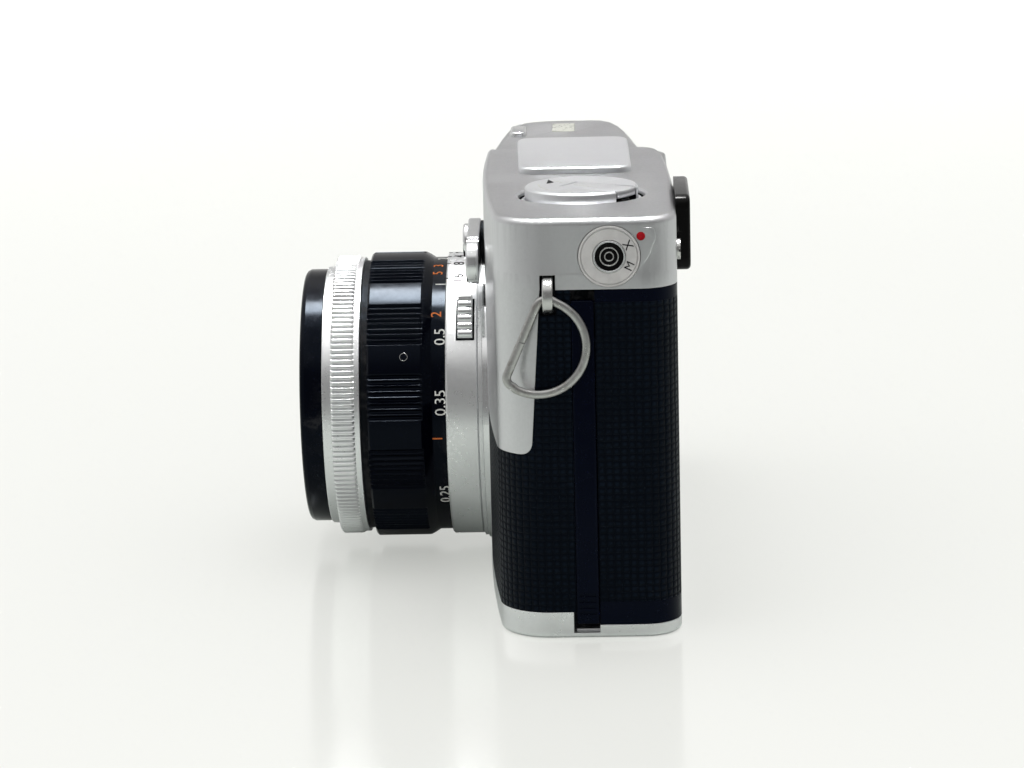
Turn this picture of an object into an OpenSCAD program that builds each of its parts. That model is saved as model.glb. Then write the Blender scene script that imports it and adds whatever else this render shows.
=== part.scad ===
// Half frame single-lens reflex camera with its lens.
// +Z is up, the lens looks along -Y and +X is the rewind crank's end.
// The origin is the tripod socket's centre, in the plane that the camera stands on.

/* [Body] */
// Width over the two end faces
body_w = 127; // [125:0.5:130]
// Height of the high deck above the base
deck_z = 69.5; // [69:0.1:70]
// How far the front stands forward of the origin at mid-width
front_y = 17.8; // [17.7:0.05:17.9]
// How far the back stands behind the origin
back_y = 15.1; // [15:0.05:15.6]
// Bow of the front from its ends to its middle
bow = 3; // [2.5:0.1:3.2]
// Plan radius of the vertical corners
corner_r = 8.5; // [8:0.1:9]
// Thickness of the leatherette and of the pressed covers
skin = 0.85; // [0.8:0.05:0.9]

/* [Lens] */
// Height of the lens axis above the base
lens_z = 27.3; // [27:0.1:27.6]
// Radius of the focus ring
focus_r = 25.5; // [25.4:0.05:25.8]
// Radius of the aperture ring
aperture_r = 25.2; // [25.1:0.05:25.3]
// Radius inside the filter thread
filter_r = 21.5; // [21.4:0.05:21.6]

/* [Fasteners] */
// Radius of the tripod socket's bore
tripod_r = 3.175; // [3.1:0.025:3.2]
// Depth of the tripod socket's bore
tripod_depth = 6; // [5:0.5:6]
// Radial clearance of a turning or sliding fit
play = 0.05; // [0.03:0.01:0.08]

/* [Hidden] */
$fn = 72;
half_w = body_w / 2;
bow_r = (pow(half_w - corner_r, 2) + bow * bow) / (2 * bow);
bow_cy = bow_r - front_y;
base_z = 4.4;          // top of the base tray's rim
rim_low_z = 2.2;       // top of the tray where the door stands on it
cover_z = 58;          // lower edge of the top cover on the ends
ledge_z = 61;          // floor of the recess for the advance lever
low_deck_z = 67;
step_x = -12;          // where the high deck steps down
tongue_z = 30.8;       // lower edge of the cover's front apron
split_y = -2.2;        // rear edge of the fixed leatherette on the ends
door_y = 1.75;         // front edge of the door on the crank end
hinge_x = -half_w + 0.2;
hinge_y = -1.1;
hinge_r = 1.15;
pin_r = 0.55;
film_y = 10.75;        // film plane, 28.95 behind the lens flange
flange_f = 18.2;       // lens flange, measured forward of the origin
spool_x = -51.5;
spool_y = -1;
sprocket_x = -40.5;
sprocket_y = 6.4;
shutter_x = -11.5;
crank_x = 39.2;
crank_y = -0.3;
crank_r = 9.4;
dial_x = -41;
dial_z = 37.5;
sync_y = 4.2;
sync_z = 63.35;
timer_x = 15;
timer_z = 57.2;
lug_y = -5.75;
lug_z = 57.1;
button_lo = [-50.6, -15.7];
button_hi = [-41.6, -11.4];
button_corner = 1.4;
unlock_x = -31;
unlock_z = 19;

// ---- plan outline of the body, inset by d ----
function arc(cx, cy, r, a0, a1, n) =
    [for (i = [0:n]) [cx + r * cos(a0 + (a1 - a0) * i / n), cy + r * sin(a0 + (a1 - a0) * i / n)]];

// Corner centres that are tangent to the end face and to the bowed front
corner_cx = half_w - corner_r;
corner_cy = bow_cy - sqrt(pow(bow_r - corner_r, 2) - pow(corner_cx, 2));
bow_a = atan2(corner_cy - bow_cy, corner_cx);
back_r = 6;

function plan(d) = concat(
    arc(0, bow_cy, bow_r - d, -180 - bow_a, bow_a, 24),
    arc(corner_cx, corner_cy, corner_r - d, bow_a + 8, 0, 8),
    arc(half_w - back_r, back_y - back_r, back_r - d, 0, 90, 7),
    arc(-half_w + back_r, back_y - back_r, back_r - d, 90, 180, 7),
    arc(-corner_cx, corner_cy, corner_r - d, 180, 172 - bow_a, 8));

// ---- helpers ----
// The plan outline inset by d, between two heights
module slab(d, z0, z1) translate([0, 0, z0]) linear_extrude(z1 - z0) polygon(plan(d));

// A block between two corners
module block(a, b) translate(a) cube(b - a);

// The outer skin of the body between two heights
module skin_band(z0, z1) difference() {
    slab(0, z0, z1);
    slab(skin, z0 - 1, z1 + 1);
}

// A disc or tube whose axis runs along Y, from f0 to f1 forward of the origin
module barrel_y(x, z, f0, f1, r, bore = 0) translate([x, -f0, z]) rotate([90, 0, 0]) difference() {
    cylinder(h = f1 - f0, r = r);
    if (bore > 0) translate([0, 0, -1]) cylinder(h = f1 - f0 + 2, r = bore);
}

// A turned lens piece: points are [radius, distance forward of the origin]
module turned(points) translate([0, 0, lens_z]) rotate([90, 0, 0]) rotate_extrude() polygon(points);

// A post along Z
module post(x, y, z0, z1, r) translate([x, y, z0]) cylinder(h = z1 - z0, r = r);

// Outline of an arm between two round ends
function arm(p, r0, q, r1) = let (a = atan2(q[1] - p[1], q[0] - p[0]))
    concat(arc(q[0], q[1], r1, a - 90, a + 90, 10), arc(p[0], p[1], r0, a + 90, a + 270, 10));

// A rounded rectangle outline
function rounded(x0, y0, x1, y1, r) = concat(arc(x1 - r, y0 + r, r, -90, 0, 5),
    arc(x1 - r, y1 - r, r, 0, 90, 5), arc(x0 + r, y1 - r, r, 90, 180, 5), arc(x0 + r, y0 + r, r, 180, 270, 5));

// ---- body castings and covers ----
chassis_top = 57.95;
mirror_half = 13.8;    // half width of the mirror box
mirror_z0 = 13.2;
mirror_z1 = 41.4;
shutter_f = -6.1;      // rear face of the shutter disc, measured forward
shutter_r = 23.9;
inner_d = 3;           // inset of the chassis inside the door

module chassis() color("dimgray") difference() {
    union() {
        intersection() {
            slab(skin, 1, chassis_top);
            block([-80, -30, 0], [80, split_y + play, 60]);
        }
        intersection() {
            slab(inner_d, 1, chassis_top);
            block([-80, split_y, 0], [80, film_y, 60]);
        }
        for (z = [[6, 17.9], [42.1, 54]]) {
            post(hinge_x, hinge_y, z[0], z[1], hinge_r);
            block([hinge_x, hinge_y - 1.05, z[0]], [-half_w + inner_d + 0.5, hinge_y + 0.9, z[1]]);
        }
    }
    post(hinge_x, hinge_y, 0, 60, pin_r + 0.02);
    // light path: mount seat, mirror box, film gate
    barrel_y(0, lens_z, 16.4, 30, 26.02);
    barrel_y(0, lens_z, 14.8, 17, 23);
    block([-mirror_half - 0.1, -14.9, mirror_z0 - 0.1], [mirror_half + 0.1, 5.4, mirror_z1 + 0.1]);
    block([-9, 5, lens_z - 12], [9, 20, lens_z + 12]);
    barrel_y(shutter_x, lens_z, -6.5, -5.4, shutter_r + 0.5);
    barrel_y(shutter_x, lens_z, -9, -5, 1.3 + play);
    // finder tunnel and the focusing screen's slot
    block([mirror_half, -13, 14], [25.3, -0.5, 60]);
    block([mirror_half, -12.3, 14.9], [15.1, 3.1, 39.9]);
    // cassette chamber
    post(crank_x, crank_y, 7, 47, 12.8);
    block([crank_x - 12.8, crank_y, 7], [crank_x + 12.8, 20, 47]);
    post(crank_x, crank_y, 40, 60, 2.5 + play);
    // take-up chamber and sprocket pocket
    post(spool_x, spool_y, 7, 50, 8.4);
    block([spool_x - 8.4, spool_y, 7], [spool_x + 8.4, 20, 50]);
    post(spool_x, spool_y, 4, 60, 2 + play);
    post(sprocket_x, sprocket_y, 7, 50, 5.1);
    post(sprocket_x, sprocket_y, 4, 52, 1.5 + play);
    post(sprocket_x, sprocket_y, 0, 6, 2.4 + play);
    // seats of the tripod socket, the controls on the front and the base screws
    post(0, 0, 0, 8.05, 5.55);
    barrel_y(dial_x, dial_z, 15.05, 30, 12.15);
    barrel_y(dial_x, dial_z, 8, 30, 2 + play);
    barrel_y(unlock_x, unlock_z, 12.5, 30, 3.2 + play);
    barrel_y(timer_x, timer_z, 10, 30, 1.5 + play);
    base_screw_places() cylinder(h = 4, r = 0.82);
}

module base_screw_places()
    for (p = [[-56, -4], [-22, 7], [22, 7], [56, -4]]) translate([p[0], p[1], 0]) children();

module mirror_box() color("black") difference() {
    block([-mirror_half, -14.7, mirror_z0], [mirror_half, 5.3, mirror_z1]);
    block([-mirror_half + 0.8, -20, mirror_z0 + 0.8], [mirror_half - 0.8, 4.5, mirror_z1 - 0.8]);
    block([-9, 0, lens_z - 12], [9, 20, lens_z + 12]);
    block([0, -12, 15], [20, 3, 39.6]);
    post(mirror_px, mirror_py, 0, 60, 0.45);
}

// The low deck's rear edge and the high deck's rear corner, seen from above
low_zone = [[step_x, -30], [step_x, 10.8], [-29, 9.7], [-39, 8.6], [-48, 7.5], [-55, 6.4], [-60, 5.1],
    [-63, 3.5], [-66, 0.6], [-66, -30]];
high_zone = [[step_x, -30], [80, -30], [80, 30], [30, 30], [22, 15.3], [8, 14.6], [-3, 13.9],
    [-9, 13.2], [-11.4, 12.2], [step_x, 10.6]];

// Part of a slab that lies inside a zone; shift moves the zone's rear edge forward
module zone_slab(d, zone, shift, z0, z1) intersection() {
    slab(d, z0, z1);
    translate([0, -shift, z0 - 1]) linear_extrude(z1 - z0 + 2) polygon(zone);
}

apron_x = 27.5;        // half width of the apron round the lens mount
tongue_y = -6.9;       // rear edge of the apron on the crank end, at its top
well_r = 10.6;

// Outline of the apron's tongue in the YZ plane: it tapers down to a rounded corner
tongue_foot = -8.9;
tongue_r = 2.2;
tongue = concat([[-30, 60], [-30, tongue_z]],
    arc(tongue_foot - tongue_r, tongue_z + tongue_r, tongue_r, -90, 0, 6), [[tongue_y, 60]]);

module apron() intersection() {
    skin_band(base_z + 0.02, cover_z + 0.5);
    union() {
        block([-apron_x, -30, 0], [apron_x, 0, 60]);
        translate([apron_x - 1, 0, 0]) rotate([90, 0, 90]) linear_extrude(50) polygon(tongue);
    }
}

module top_cover() color("silver") difference() {
    union() {
        apron();
        difference() {
            union() {
                slab(0, cover_z, ledge_z);
                zone_slab(0, low_zone, 0, ledge_z - 1, low_deck_z);
                zone_slab(0, high_zone, 0, ledge_z - 1, deck_z);
            }
            slab(skin, cover_z - 1, ledge_z - 0.8);
            zone_slab(skin, low_zone, 0.9, ledge_z - 1, low_deck_z - 0.8);
            zone_slab(skin, high_zone, 0.9, ledge_z - 1, deck_z - 0.9);
        }
        post(crank_x, crank_y, 64.4, deck_z - 0.5, well_r + 0.8);
    }
    // rewind well
    post(crank_x, crank_y, 65.2, 80, well_r);
    post(crank_x, crank_y, 60, 80, 2.5 + play);
    // opening for the advance lever's sweep
    block([-80, 1, ledge_z + 0.02], [step_x - 1, 30, 65.1]);
    // window, button, meter of the frame counter
    block([-58.3, -6.7, 60], [-48.5, -2.3, 80]);
    translate([0, 0, 60]) linear_extrude(20) polygon(button_outline(0));
    // eyepiece opening
    block([33, 10, 60.4], [45, 30, 68.1]);
    // sync socket, index dot and strap slot on the ends
    translate([50, sync_y, sync_z]) rotate([0, 90, 0]) cylinder(h = 30, r = 5 + play);
    translate([60, 9.3, 66.5]) rotate([0, 90, 0]) cylinder(h = 30, r = 0.7);
    for (s = [-1, 1]) block([s > 0 ? 62 : -80, -7, 53.9], [s > 0 ? 80 : -62, -4.5, 60.4]);
    // lens mount and the self-timer's shaft
    barrel_y(0, lens_z, 10, 30, 26.02);
    barrel_y(timer_x, timer_z, 10, 30, 1.5 + play);
    cover_screw_places() cylinder(h = 6, r = 1, center = true);
}

module cover_screw_places()
    for (x = [24, 56]) translate([x, back_y, 63]) rotate([-90, 0, 0]) children();

module cover_screws() color("silver") cover_screw_places() {
    translate([0, 0, -2.5]) cylinder(h = 2.5, r = 1);
    difference() {
        cylinder(h = 0.6, r = 1.7);
        translate([-2, -0.2, 0.3]) cube([4, 0.4, 1]);
    }
}

module top_pad() color("silver") difference() {
    translate([0, 0, low_deck_z]) linear_extrude(3.6) polygon(rounded(-17.6, -12.4, 18, 8.4, 3.5));
    block([step_x, -20, low_deck_z - 1], [30, 20, deck_z]);
}

module base_plate() color("silver") difference() {
    union() {
        slab(0, 0, 1);
        skin_band(0.5, rim_low_z);
        intersection() {
            skin_band(0.5, base_z);
            block([-80, -30, 0], [80, -2.5, 10]);
        }
    }
    block([62, -2.6, 0.9], [80, 1.7, 10]);
    block([-80, -2.6, 0.9], [-62, 0.1, 10]);
    barrel_y(0, lens_z, 10, 30, 26.02);
    post(0, 0, -1, 8, 5.55);
    post(sprocket_x, sprocket_y, -1, 8, 2.4 + play);
    base_screw_places() translate([0, 0, -0.1]) cylinder(h = 0.7, r = 1.75);
    base_screw_places() translate([0, 0, -1]) cylinder(h = 4, r = 0.82);
}

module base_screws() color("silver") base_screw_places() difference() {
    union() {
        translate([0, 0, 0.1]) cylinder(h = 0.5, r = 1.7);
        translate([0, 0, 0.1]) cylinder(h = 3.8, r = 0.8);
    }
    translate([-2, -0.2, 0]) cube([4, 0.4, 0.35]);
}

// ---- leatherette ----
module front_leather() color("black") difference() {
    intersection() {
        skin_band(base_z + 0.02, cover_z - 0.05);
        block([apron_x + 0.05, -30, 0], [80, split_y, 60]);
    }
    translate([apron_x - 1, 0, 0]) rotate([90, 0, 90]) linear_extrude(60)
        offset(delta = 0.05) polygon(tongue);
    block([62, -7, 53.9], [80, -4.5, 60.4]);
}

module grip_leather() color("black") difference() {
    intersection() {
        skin_band(base_z + 0.02, cover_z - 0.05);
        block([-80, -30, 0], [-apron_x - 0.05, hinge_y - hinge_r - 0.35, 60]);
    }
    block([-80, -7, 53.9], [-62, -4.5, 60.4]);
    barrel_y(dial_x, dial_z, 10, 30, 12.15);
    barrel_y(unlock_x, unlock_z, 10, 30, 3.2 + play);
}

// ---- back door ----
door_t = 1.25;         // thickness of the door's metal
door_z0 = 2.3;
door_z1 = 57.9;
lip_z0 = 6.1;          // the door's bare lips end here and at lip_z1
lip_z1 = 55.9;

module door_area() union() {
    block([0, door_y, 0], [80, 30, 60]);
    block([-80, 0.15, 0], [0.01, 30, 60]);
}

module back_door() color("dimgray") difference() {
    union() {
        intersection() {
            difference() {
                union() {
                    slab(skin, door_z0, door_z1);
                    slab(0, door_z0, lip_z0);
                    slab(0, lip_z1, door_z1);
                }
                slab(skin + door_t, door_z0 - 1, door_z1 + 1);
            }
            door_area();
        }
        post(hinge_x, hinge_y, 18, 42, hinge_r);
        block([-half_w, hinge_y, 18], [-half_w + skin + door_t, hinge_y + 2.2, 42]);
    }
    post(hinge_x, hinge_y, 0, 60, pin_r + play);
    block([-80, -3, 0], [-61, 0.6, 17.95]);
    block([-80, -3, 42.05], [-61, 0.6, 60]);
}

module door_leather() color("black") difference() {
    intersection() {
        skin_band(lip_z0 + 0.05, lip_z1 - 0.05);
        door_area();
    }
    block([-80, -3, 0], [-62, hinge_y + 2.25, 60]);
}

module door_seal() color("black")
    for (z = [3.6, 54.6]) block([-52, 12, z], [52, back_y - skin - door_t, z + 1.6]);

module hinge_pin() color("silver") post(hinge_x, hinge_y, 6, 54, pin_r);

module door_latch() color("black") difference() {
    block([62.2, -2.1, 2.4], [half_w + 0.15, 1.6, 56.2]);
    for (z = [4:1.2:7]) block([half_w - 0.1, -3, z], [half_w + 1, 3, z + 0.5]);
}

module pressure_plate() color("dimgray") difference() {
    block([-16, 11.05, 9.6], [16, 11.75, 45]);
    for (z = [18, 36]) for (x = [-10, 10]) barrel_y(x, z, -20, -10, 1);
}

// Two bowed leaf springs between the plate and the door
module plate_springs() color("silver") for (z = [16, 34]) translate([0, 0, z]) linear_extrude(5)
    polygon(concat(arc(0, 11.8 + 90, 90, -98, -82, 12), arc(0, 12 + 90, 90, -82, -98, 12)));

// ---- film transport ----
module tripod_socket() color("silver") difference() {
    post(0, 0, 0, 8, 5.5);
    post(0, 0, -1, tripod_depth, tripod_r);
}

module film_rails() color("silver") for (z = [9.8, 43.4])
    block([-25, film_y, z], [24, film_y + 0.2, z + 1.4]);

module take_up_spool() color("black") difference() {
    union() {
        post(spool_x, spool_y, 8, 49, 5);
        for (z = [8, 47.8]) post(spool_x, spool_y, z, z + 1.2, 7.9);
        post(spool_x, spool_y, 5, 57.8, 2);
    }
    block([spool_x - 0.6, spool_y - 9, 22], [spool_x + 0.6, spool_y, 34]);
}

sprocket_r = 4.54;     // six teeth at 4.75 film pitch
module sprocket() color("silver") {
    post(sprocket_x, sprocket_y, 6.5, 51.5, 1.5);
    post(sprocket_x, sprocket_y, 9.8, 15, sprocket_r - 0.6);
    post(sprocket_x, sprocket_y, 40, 45, sprocket_r - 0.6);
    post(sprocket_x, sprocket_y, 14, 41, 3);
    for (z = [11.4, 42]) for (i = [0:5]) translate([sprocket_x, sprocket_y, z]) rotate([0, 0, 60 * i])
        block([3.5, -0.55, 0], [sprocket_r + 0.4, 0.55, 1.4]);
}

module rewind_shaft() color("silver") {
    post(crank_x, crank_y, 44, 65.6, 2.5);
    post(crank_x, crank_y, 38, 44.5, 1.6);
    block([crank_x - 2.4, crank_y - 0.5, 38], [crank_x + 2.4, crank_y + 0.5, 42]);
}

crank_a = 56.7;        // direction of the folded crank arm
crank_pivot = -2.2;    // its pin, along that direction
crank_pin_z = 70.3;
handle_at = 7.2;
module at_crank() translate([crank_x, crank_y, 0]) rotate([0, 0, crank_a]) children();

module rewind_knob() color("silver") difference() {
    union() {
        post(crank_x, crank_y, 65.6, 68, 8);
        post(crank_x, crank_y, 67.4, 68.6, 10.1);
        post(crank_x, crank_y, 67.5, 71, crank_r);
    }
    at_crank() block([crank_pivot - 0.75, -2.7, 69.6], [20, 2.7, 80]);
    at_crank() block([4.7, -3, 66.4], [20, 3, 80]);
}

module crank_arm() color("silver") at_crank() difference() {
    union() {
        block([crank_pivot, -2.6, 69.65], [9.1, 2.6, 70.95]);
        translate([crank_pivot, 2.6, crank_pin_z]) rotate([90, 0, 0]) cylinder(h = 5.2, r = 0.62);
        translate([handle_at, 0, 66.9]) cylinder(h = 3, r = 0.8);
    }
    translate([0, 0, 60]) difference() {
        cylinder(h = 20, r = 20);
        cylinder(h = 20, r = crank_r - 0.1);
    }
}

module crank_button() color("silver") at_crank() translate([handle_at, 0, 66.8]) difference() {
    cylinder(h = 2.75, r = 2);
    translate([0, 0, -1]) cylinder(h = 5, r = 0.8 + play);
}

lever_tip_at = [-30.5, 12];
module advance_lever() color("silver") {
    difference() {
        translate([0, 0, ledge_z + 0.5]) linear_extrude(1.9)
            polygon(arm([spool_x, spool_y], 4.6, lever_tip_at, 2.2));
        post(spool_x, spool_y, 60, 70, 1.2 + play);
    }
}

module lever_tip() color("black") translate([0, 0, ledge_z + 2.4]) linear_extrude(1.6)
    polygon(arm(lever_tip_at - [4.6, 2.6], 2.1, lever_tip_at, 2.1));

module counter_disc() color("white") difference() {
    post(spool_x, spool_y, 65, 65.6, 6.6);
    post(spool_x, spool_y, 60, 70, 1.2 + play);
}

module counter_window() color("ivory") block([-58.25, -6.65, 66.2], [-48.55, -2.35, 67.15]);

// Outline of the shutter button and of its opening
function button_outline(d) = rounded(button_lo[0] + d, button_lo[1] + d, button_hi[0] - d, button_hi[1] - d,
    button_corner - d);

module shutter_button() color("silver") translate([0, 0, 62]) linear_extrude(6)
    polygon(button_outline(play));

module rotary_shutter() color("gray") difference() {
    barrel_y(shutter_x, lens_z, shutter_f, shutter_f + 0.3, shutter_r);
    // the open sector lies away from the gate at rest
    translate([shutter_x, 10, lens_z]) rotate([90, 0, 0]) linear_extrude(10)
        polygon(concat([[-4, 0]], arc(0, 0, 40, 120, 240, 6)));
    barrel_y(shutter_x, lens_z, -10, 0, 1.02);
}

module shutter_shaft() color("silver") barrel_y(shutter_x, lens_z, -8.5, -5.35, 1);

mirror_px = 12;        // pivot of the mirror
mirror_py = 4;
module at_mirror() translate([mirror_px, mirror_py, 0]) rotate([0, 0, 225]) children();

module reflex_mirror() color("lightblue") at_mirror()
    block([1, -0.1, 15.2], [18, 0.6, 39.4]);

module mirror_hinge() color("gray") {
    post(mirror_px, mirror_py, mirror_z0 + 0.1, mirror_z1 - 0.1, 0.4);
    at_mirror() block([0, -0.6, 15.2], [18, -0.12, 39.4]);
}

// ---- finder ----
module focusing_screen() color("white") block([mirror_half + 0.05, -12.2, 15], [15, 3, 39.8]);

module finder_prism() color("lightblue") translate([0, -1, 0]) rotate([90, 0, 0]) linear_extrude(11.5)
    polygon([[15.2, 15.5], [25, 26], [25, 67], [18, 60], [15.2, 40.5]]);

module eyepiece_lens() color("lightblue") block([33.1, 12.6, 60.5], [44.9, 15.6, 68]);

module eyepiece_frame() color("black") difference() {
    translate([0, back_y, 0]) rotate([-90, 0, 0]) mirror([0, 1, 0]) linear_extrude(2.4)
        polygon(rounded(28, 58.6, 50, 70, 2.2));
    block([33, 10, 60.4], [45, 30, 68.1]);
    block([31.6, 16.4, 59.9], [46.4, 30, 68.6]);
}

// ---- controls on the front and the end ----
module speed_dial() color("silver") {
    barrel_y(dial_x, dial_z, 15.1, 18.6, 12);
    barrel_y(dial_x, dial_z, 18.5, 19.8, 9.6);
    barrel_y(dial_x, dial_z, 9, 15.5, 2);
}

module sync_socket() color("silver") translate([62.4, sync_y, sync_z]) rotate([0, 90, 0]) difference() {
    cylinder(h = 1.6, r = 5);
    translate([0, 0, -1]) cylinder(h = 5, r = 2.6 + play);
}

module sync_core() color("black") translate([60, sync_y, sync_z]) rotate([0, 90, 0]) {
    difference() {
        cylinder(h = 4.1, r = 2.6);
        translate([0, 0, 3]) cylinder(h = 5, r = 2);
    }
    difference() {
        cylinder(h = 4, r = 1.45);
        translate([0, 0, 3]) cylinder(h = 5, r = 1.1);
    }
    cylinder(h = 3.9, r = 0.6);
}

module index_dot() color("red") translate([61.5, 9.3, 66.5]) rotate([0, 90, 0])
    cylinder(h = half_w - 61.5 + 0.05, r = 0.68);

// Bent strap loops, one on each end
module strap_lugs() color("silver") for (s = [0, 1]) mirror([s, 0, 0]) intersection() {
    translate([62.9, lug_y + 0.85, lug_z]) rotate([90, 0, 0]) difference() {
        cylinder(h = 1.7, r = 3);
        translate([0, 0, -1]) cylinder(h = 4, r = 2.4);
    }
    block([62.66, -20, 0], [80, 20, 80]);
}

// Path of the strap ring in the YZ plane: small arc in the loop, long round side, sharp corner
ring_path = concat(arc(lug_y - 0.1, 54.6, 2, 150, 62, 5), arc(-7.5, 48.9, 7.8, 66, -118, 20),
    arc(-11.1, 43.9, 1.5, -110, -210, 5));
ring_x = 64.25;
ring_top_z = 56.6;
wire_r = 0.55;
ring_lean = 18;        // the ring on the hinge's end rests against the hinge, leans out
ring_tilt = 16;        // and lies forward, clear of the door

module strap_ring() for (i = [0:len(ring_path) - 1])
    let (p = ring_path[i], q = ring_path[(i + 1) % len(ring_path)]) hull() {
        translate([ring_x, p[0], p[1]]) sphere(r = wire_r, $fn = 14);
        translate([ring_x, q[0], q[1]]) sphere(r = wire_r, $fn = 14);
    }

module left_strap_ring() color("silver") strap_ring();
module right_strap_ring() color("silver") mirror([1, 0, 0])
    translate([ring_x, lug_y, ring_top_z + 0.4]) rotate([0, -ring_lean, 0]) rotate([-ring_tilt, 0, 0])
    translate([-ring_x, -lug_y, -ring_top_z]) strap_ring();

timer_tip = [27, 56];
module self_timer_lever() color("silver") {
    translate([0, -18, 0]) rotate([90, 0, 0]) linear_extrude(2.2)
        polygon(arm([timer_x, timer_z], 4.3, timer_tip, 3.7));
    barrel_y(timer_x, timer_z, 11, 18.1, 1.5);
}

module timer_cap() color("silver") barrel_y(timer_x, timer_z + 0.3, 20.2, 21.2, 3.1);

module lens_catch() color("silver") barrel_y(unlock_x, unlock_z, 14, 19.4, 3.2);

module rewind_release() color("silver") post(sprocket_x, sprocket_y, 0.2, 4.2, 2.4);

// ---- lens mount and lens ----
mount_screw_r = 23.4;
module mount_screw_places() for (i = [0:3]) translate([0, 0, lens_z]) rotate([90, 45 + 90 * i, 0])
    translate([mount_screw_r, 0, 0]) children();

module mount_ring() color("silver") difference() {
    barrel_y(0, lens_z, 16.42, flange_f - 0.05, 26, 20 + play);
    for (i = [0:2]) translate([0, 0, lens_z]) rotate([90, 120 * i + 25, 0]) linear_extrude(30)
        polygon(concat(arc(0, 0, 22.3, -20, 20, 6), arc(0, 0, 19, 20, -20, 6)));
    mount_screw_places() translate([0, 0, 16]) cylinder(h = 5, r = 1.12);
}

module mount_screws() color("silver") mount_screw_places() translate([0, 0, 16.45]) difference() {
    cylinder(h = 1.6, r = 1.1);
    translate([-2, -0.15, 1.2]) cube([4, 0.3, 1]);
}

module lens_barrel() color("silver") {
    turned([[11.1, 15], [20, 15], [20, flange_f], [25.6, flange_f], [25.6, 18.9], [21, 18.9],
        [21, 36], [17, 36], [17, 18], [11.1, 18]]);
    for (i = [0:2]) translate([0, 0, lens_z]) rotate([90, 120 * i + 85, 0]) translate([0, 0, 15])
        linear_extrude(1.3) polygon(concat(arc(0, 0, 22.1, -18, 18, 6), arc(0, 0, 19, 18, -18, 6)));
}

module aperture_ring() color("silver")
    turned([[21 + play, 18.95], [24.9, 18.95], [aperture_r, 19.3], [aperture_r, 24.3], [24.9, 24.6],
        [21 + play, 24.6]]);

module aperture_tab() color("silver") intersection() {
    barrel_y(0, lens_z, 19.8, 22.4, aperture_r + 1.4, aperture_r);
    translate([0, 0, lens_z]) rotate([90, 0, 0]) linear_extrude(30)
        polygon(concat([[0, 0]], arc(0, 0, 40, 34, 52, 4)));
}

focus_back = 24.65;
focus_front = 38.2;
module focus_ring() color("black")
    turned([[21 + play, focus_back], [24.4, focus_back], [24.4, 27], [focus_r, 28.6],
        [focus_r, focus_front], [24 + play, focus_front], [24 + play, 34.5], [21 + play, 34.5]]);

module front_barrel() color("black")
    turned([[15.4, 26], [17 - play, 26], [17 - play, 38.9], [22.6, 38.9], [22.6, 37], [24, 37],
        [24, 39.5], [22, 39.5], [22, 46.2], [20.6, 46.2], [15.4, 43.4]]);

module grip_ring() color("silver")
    turned([[22, 39.5], [24.6, 39.5], [24.6, 40.6], [24.9, 40.6], [24.9, 44.5], [23, 44.5],
        [23, 46.2], [22, 46.2]]);

module front_ring() color("black")
    turned([[20.7, 46.2], [22.6, 46.2], [22.6, 49.5], [22.1, 50.1], [filter_r, 50.1],
        [filter_r, 46.9], [20.7, 46.9]]);

// A lens element: crown heights at the back and the front, flat cylinder edge
function dome(r, f, h, n) = [for (i = [0:n]) [r * (1 - i / n), f + h * (1 - pow(1 - i / n, 2))]];
module front_glass() color("lightblue") turned(concat([[0, 38], [15.3, 38]], dome(15.3, 41.6, 2.6, 8)));
module rear_glass() color("lightblue") turned([[0, 15.6], [11, 15.6], [11, 17.6], [0, 17.2]]);

module iris() color("dimgray") translate([0, 0, lens_z]) rotate([90, 0, 0]) translate([0, 0, 21])
    difference() {
        cylinder(h = 1.2, r = 16.95);
        translate([0, 0, -1]) cylinder(h = 4, r = 6, $fn = 6);
    }

chassis();
mirror_box();
top_cover();
top_pad();
base_plate();
base_screws();
cover_screws();
front_leather();
grip_leather();
back_door();
door_leather();
door_seal();
hinge_pin();
door_latch();
pressure_plate();
plate_springs();
tripod_socket();
film_rails();
take_up_spool();
sprocket();
rewind_shaft();
rewind_knob();
crank_arm();
crank_button();
advance_lever();
lever_tip();
counter_disc();
counter_window();
shutter_button();
rotary_shutter();
shutter_shaft();
reflex_mirror();
mirror_hinge();
focusing_screen();
finder_prism();
eyepiece_lens();
eyepiece_frame();
speed_dial();
sync_socket();
sync_core();
index_dot();
strap_lugs();
left_strap_ring();
right_strap_ring();
self_timer_lever();
timer_cap();
lens_catch();
rewind_release();
mount_ring();
mount_screws();
lens_barrel();
aperture_ring();
aperture_tab();
focus_ring();
front_barrel();
grip_ring();
front_ring();
front_glass();
rear_glass();
iris();
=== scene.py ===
"""Looks of the half frame camera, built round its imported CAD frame.

Lengths are millimetres. Forward distances (f) are measured from the origin towards the front, along -Y.
A new piece takes the place of the CAD node whose name it has."""
import math
import bmesh
import bpy
import numpy as np
from mathutils import Matrix, Vector


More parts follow.
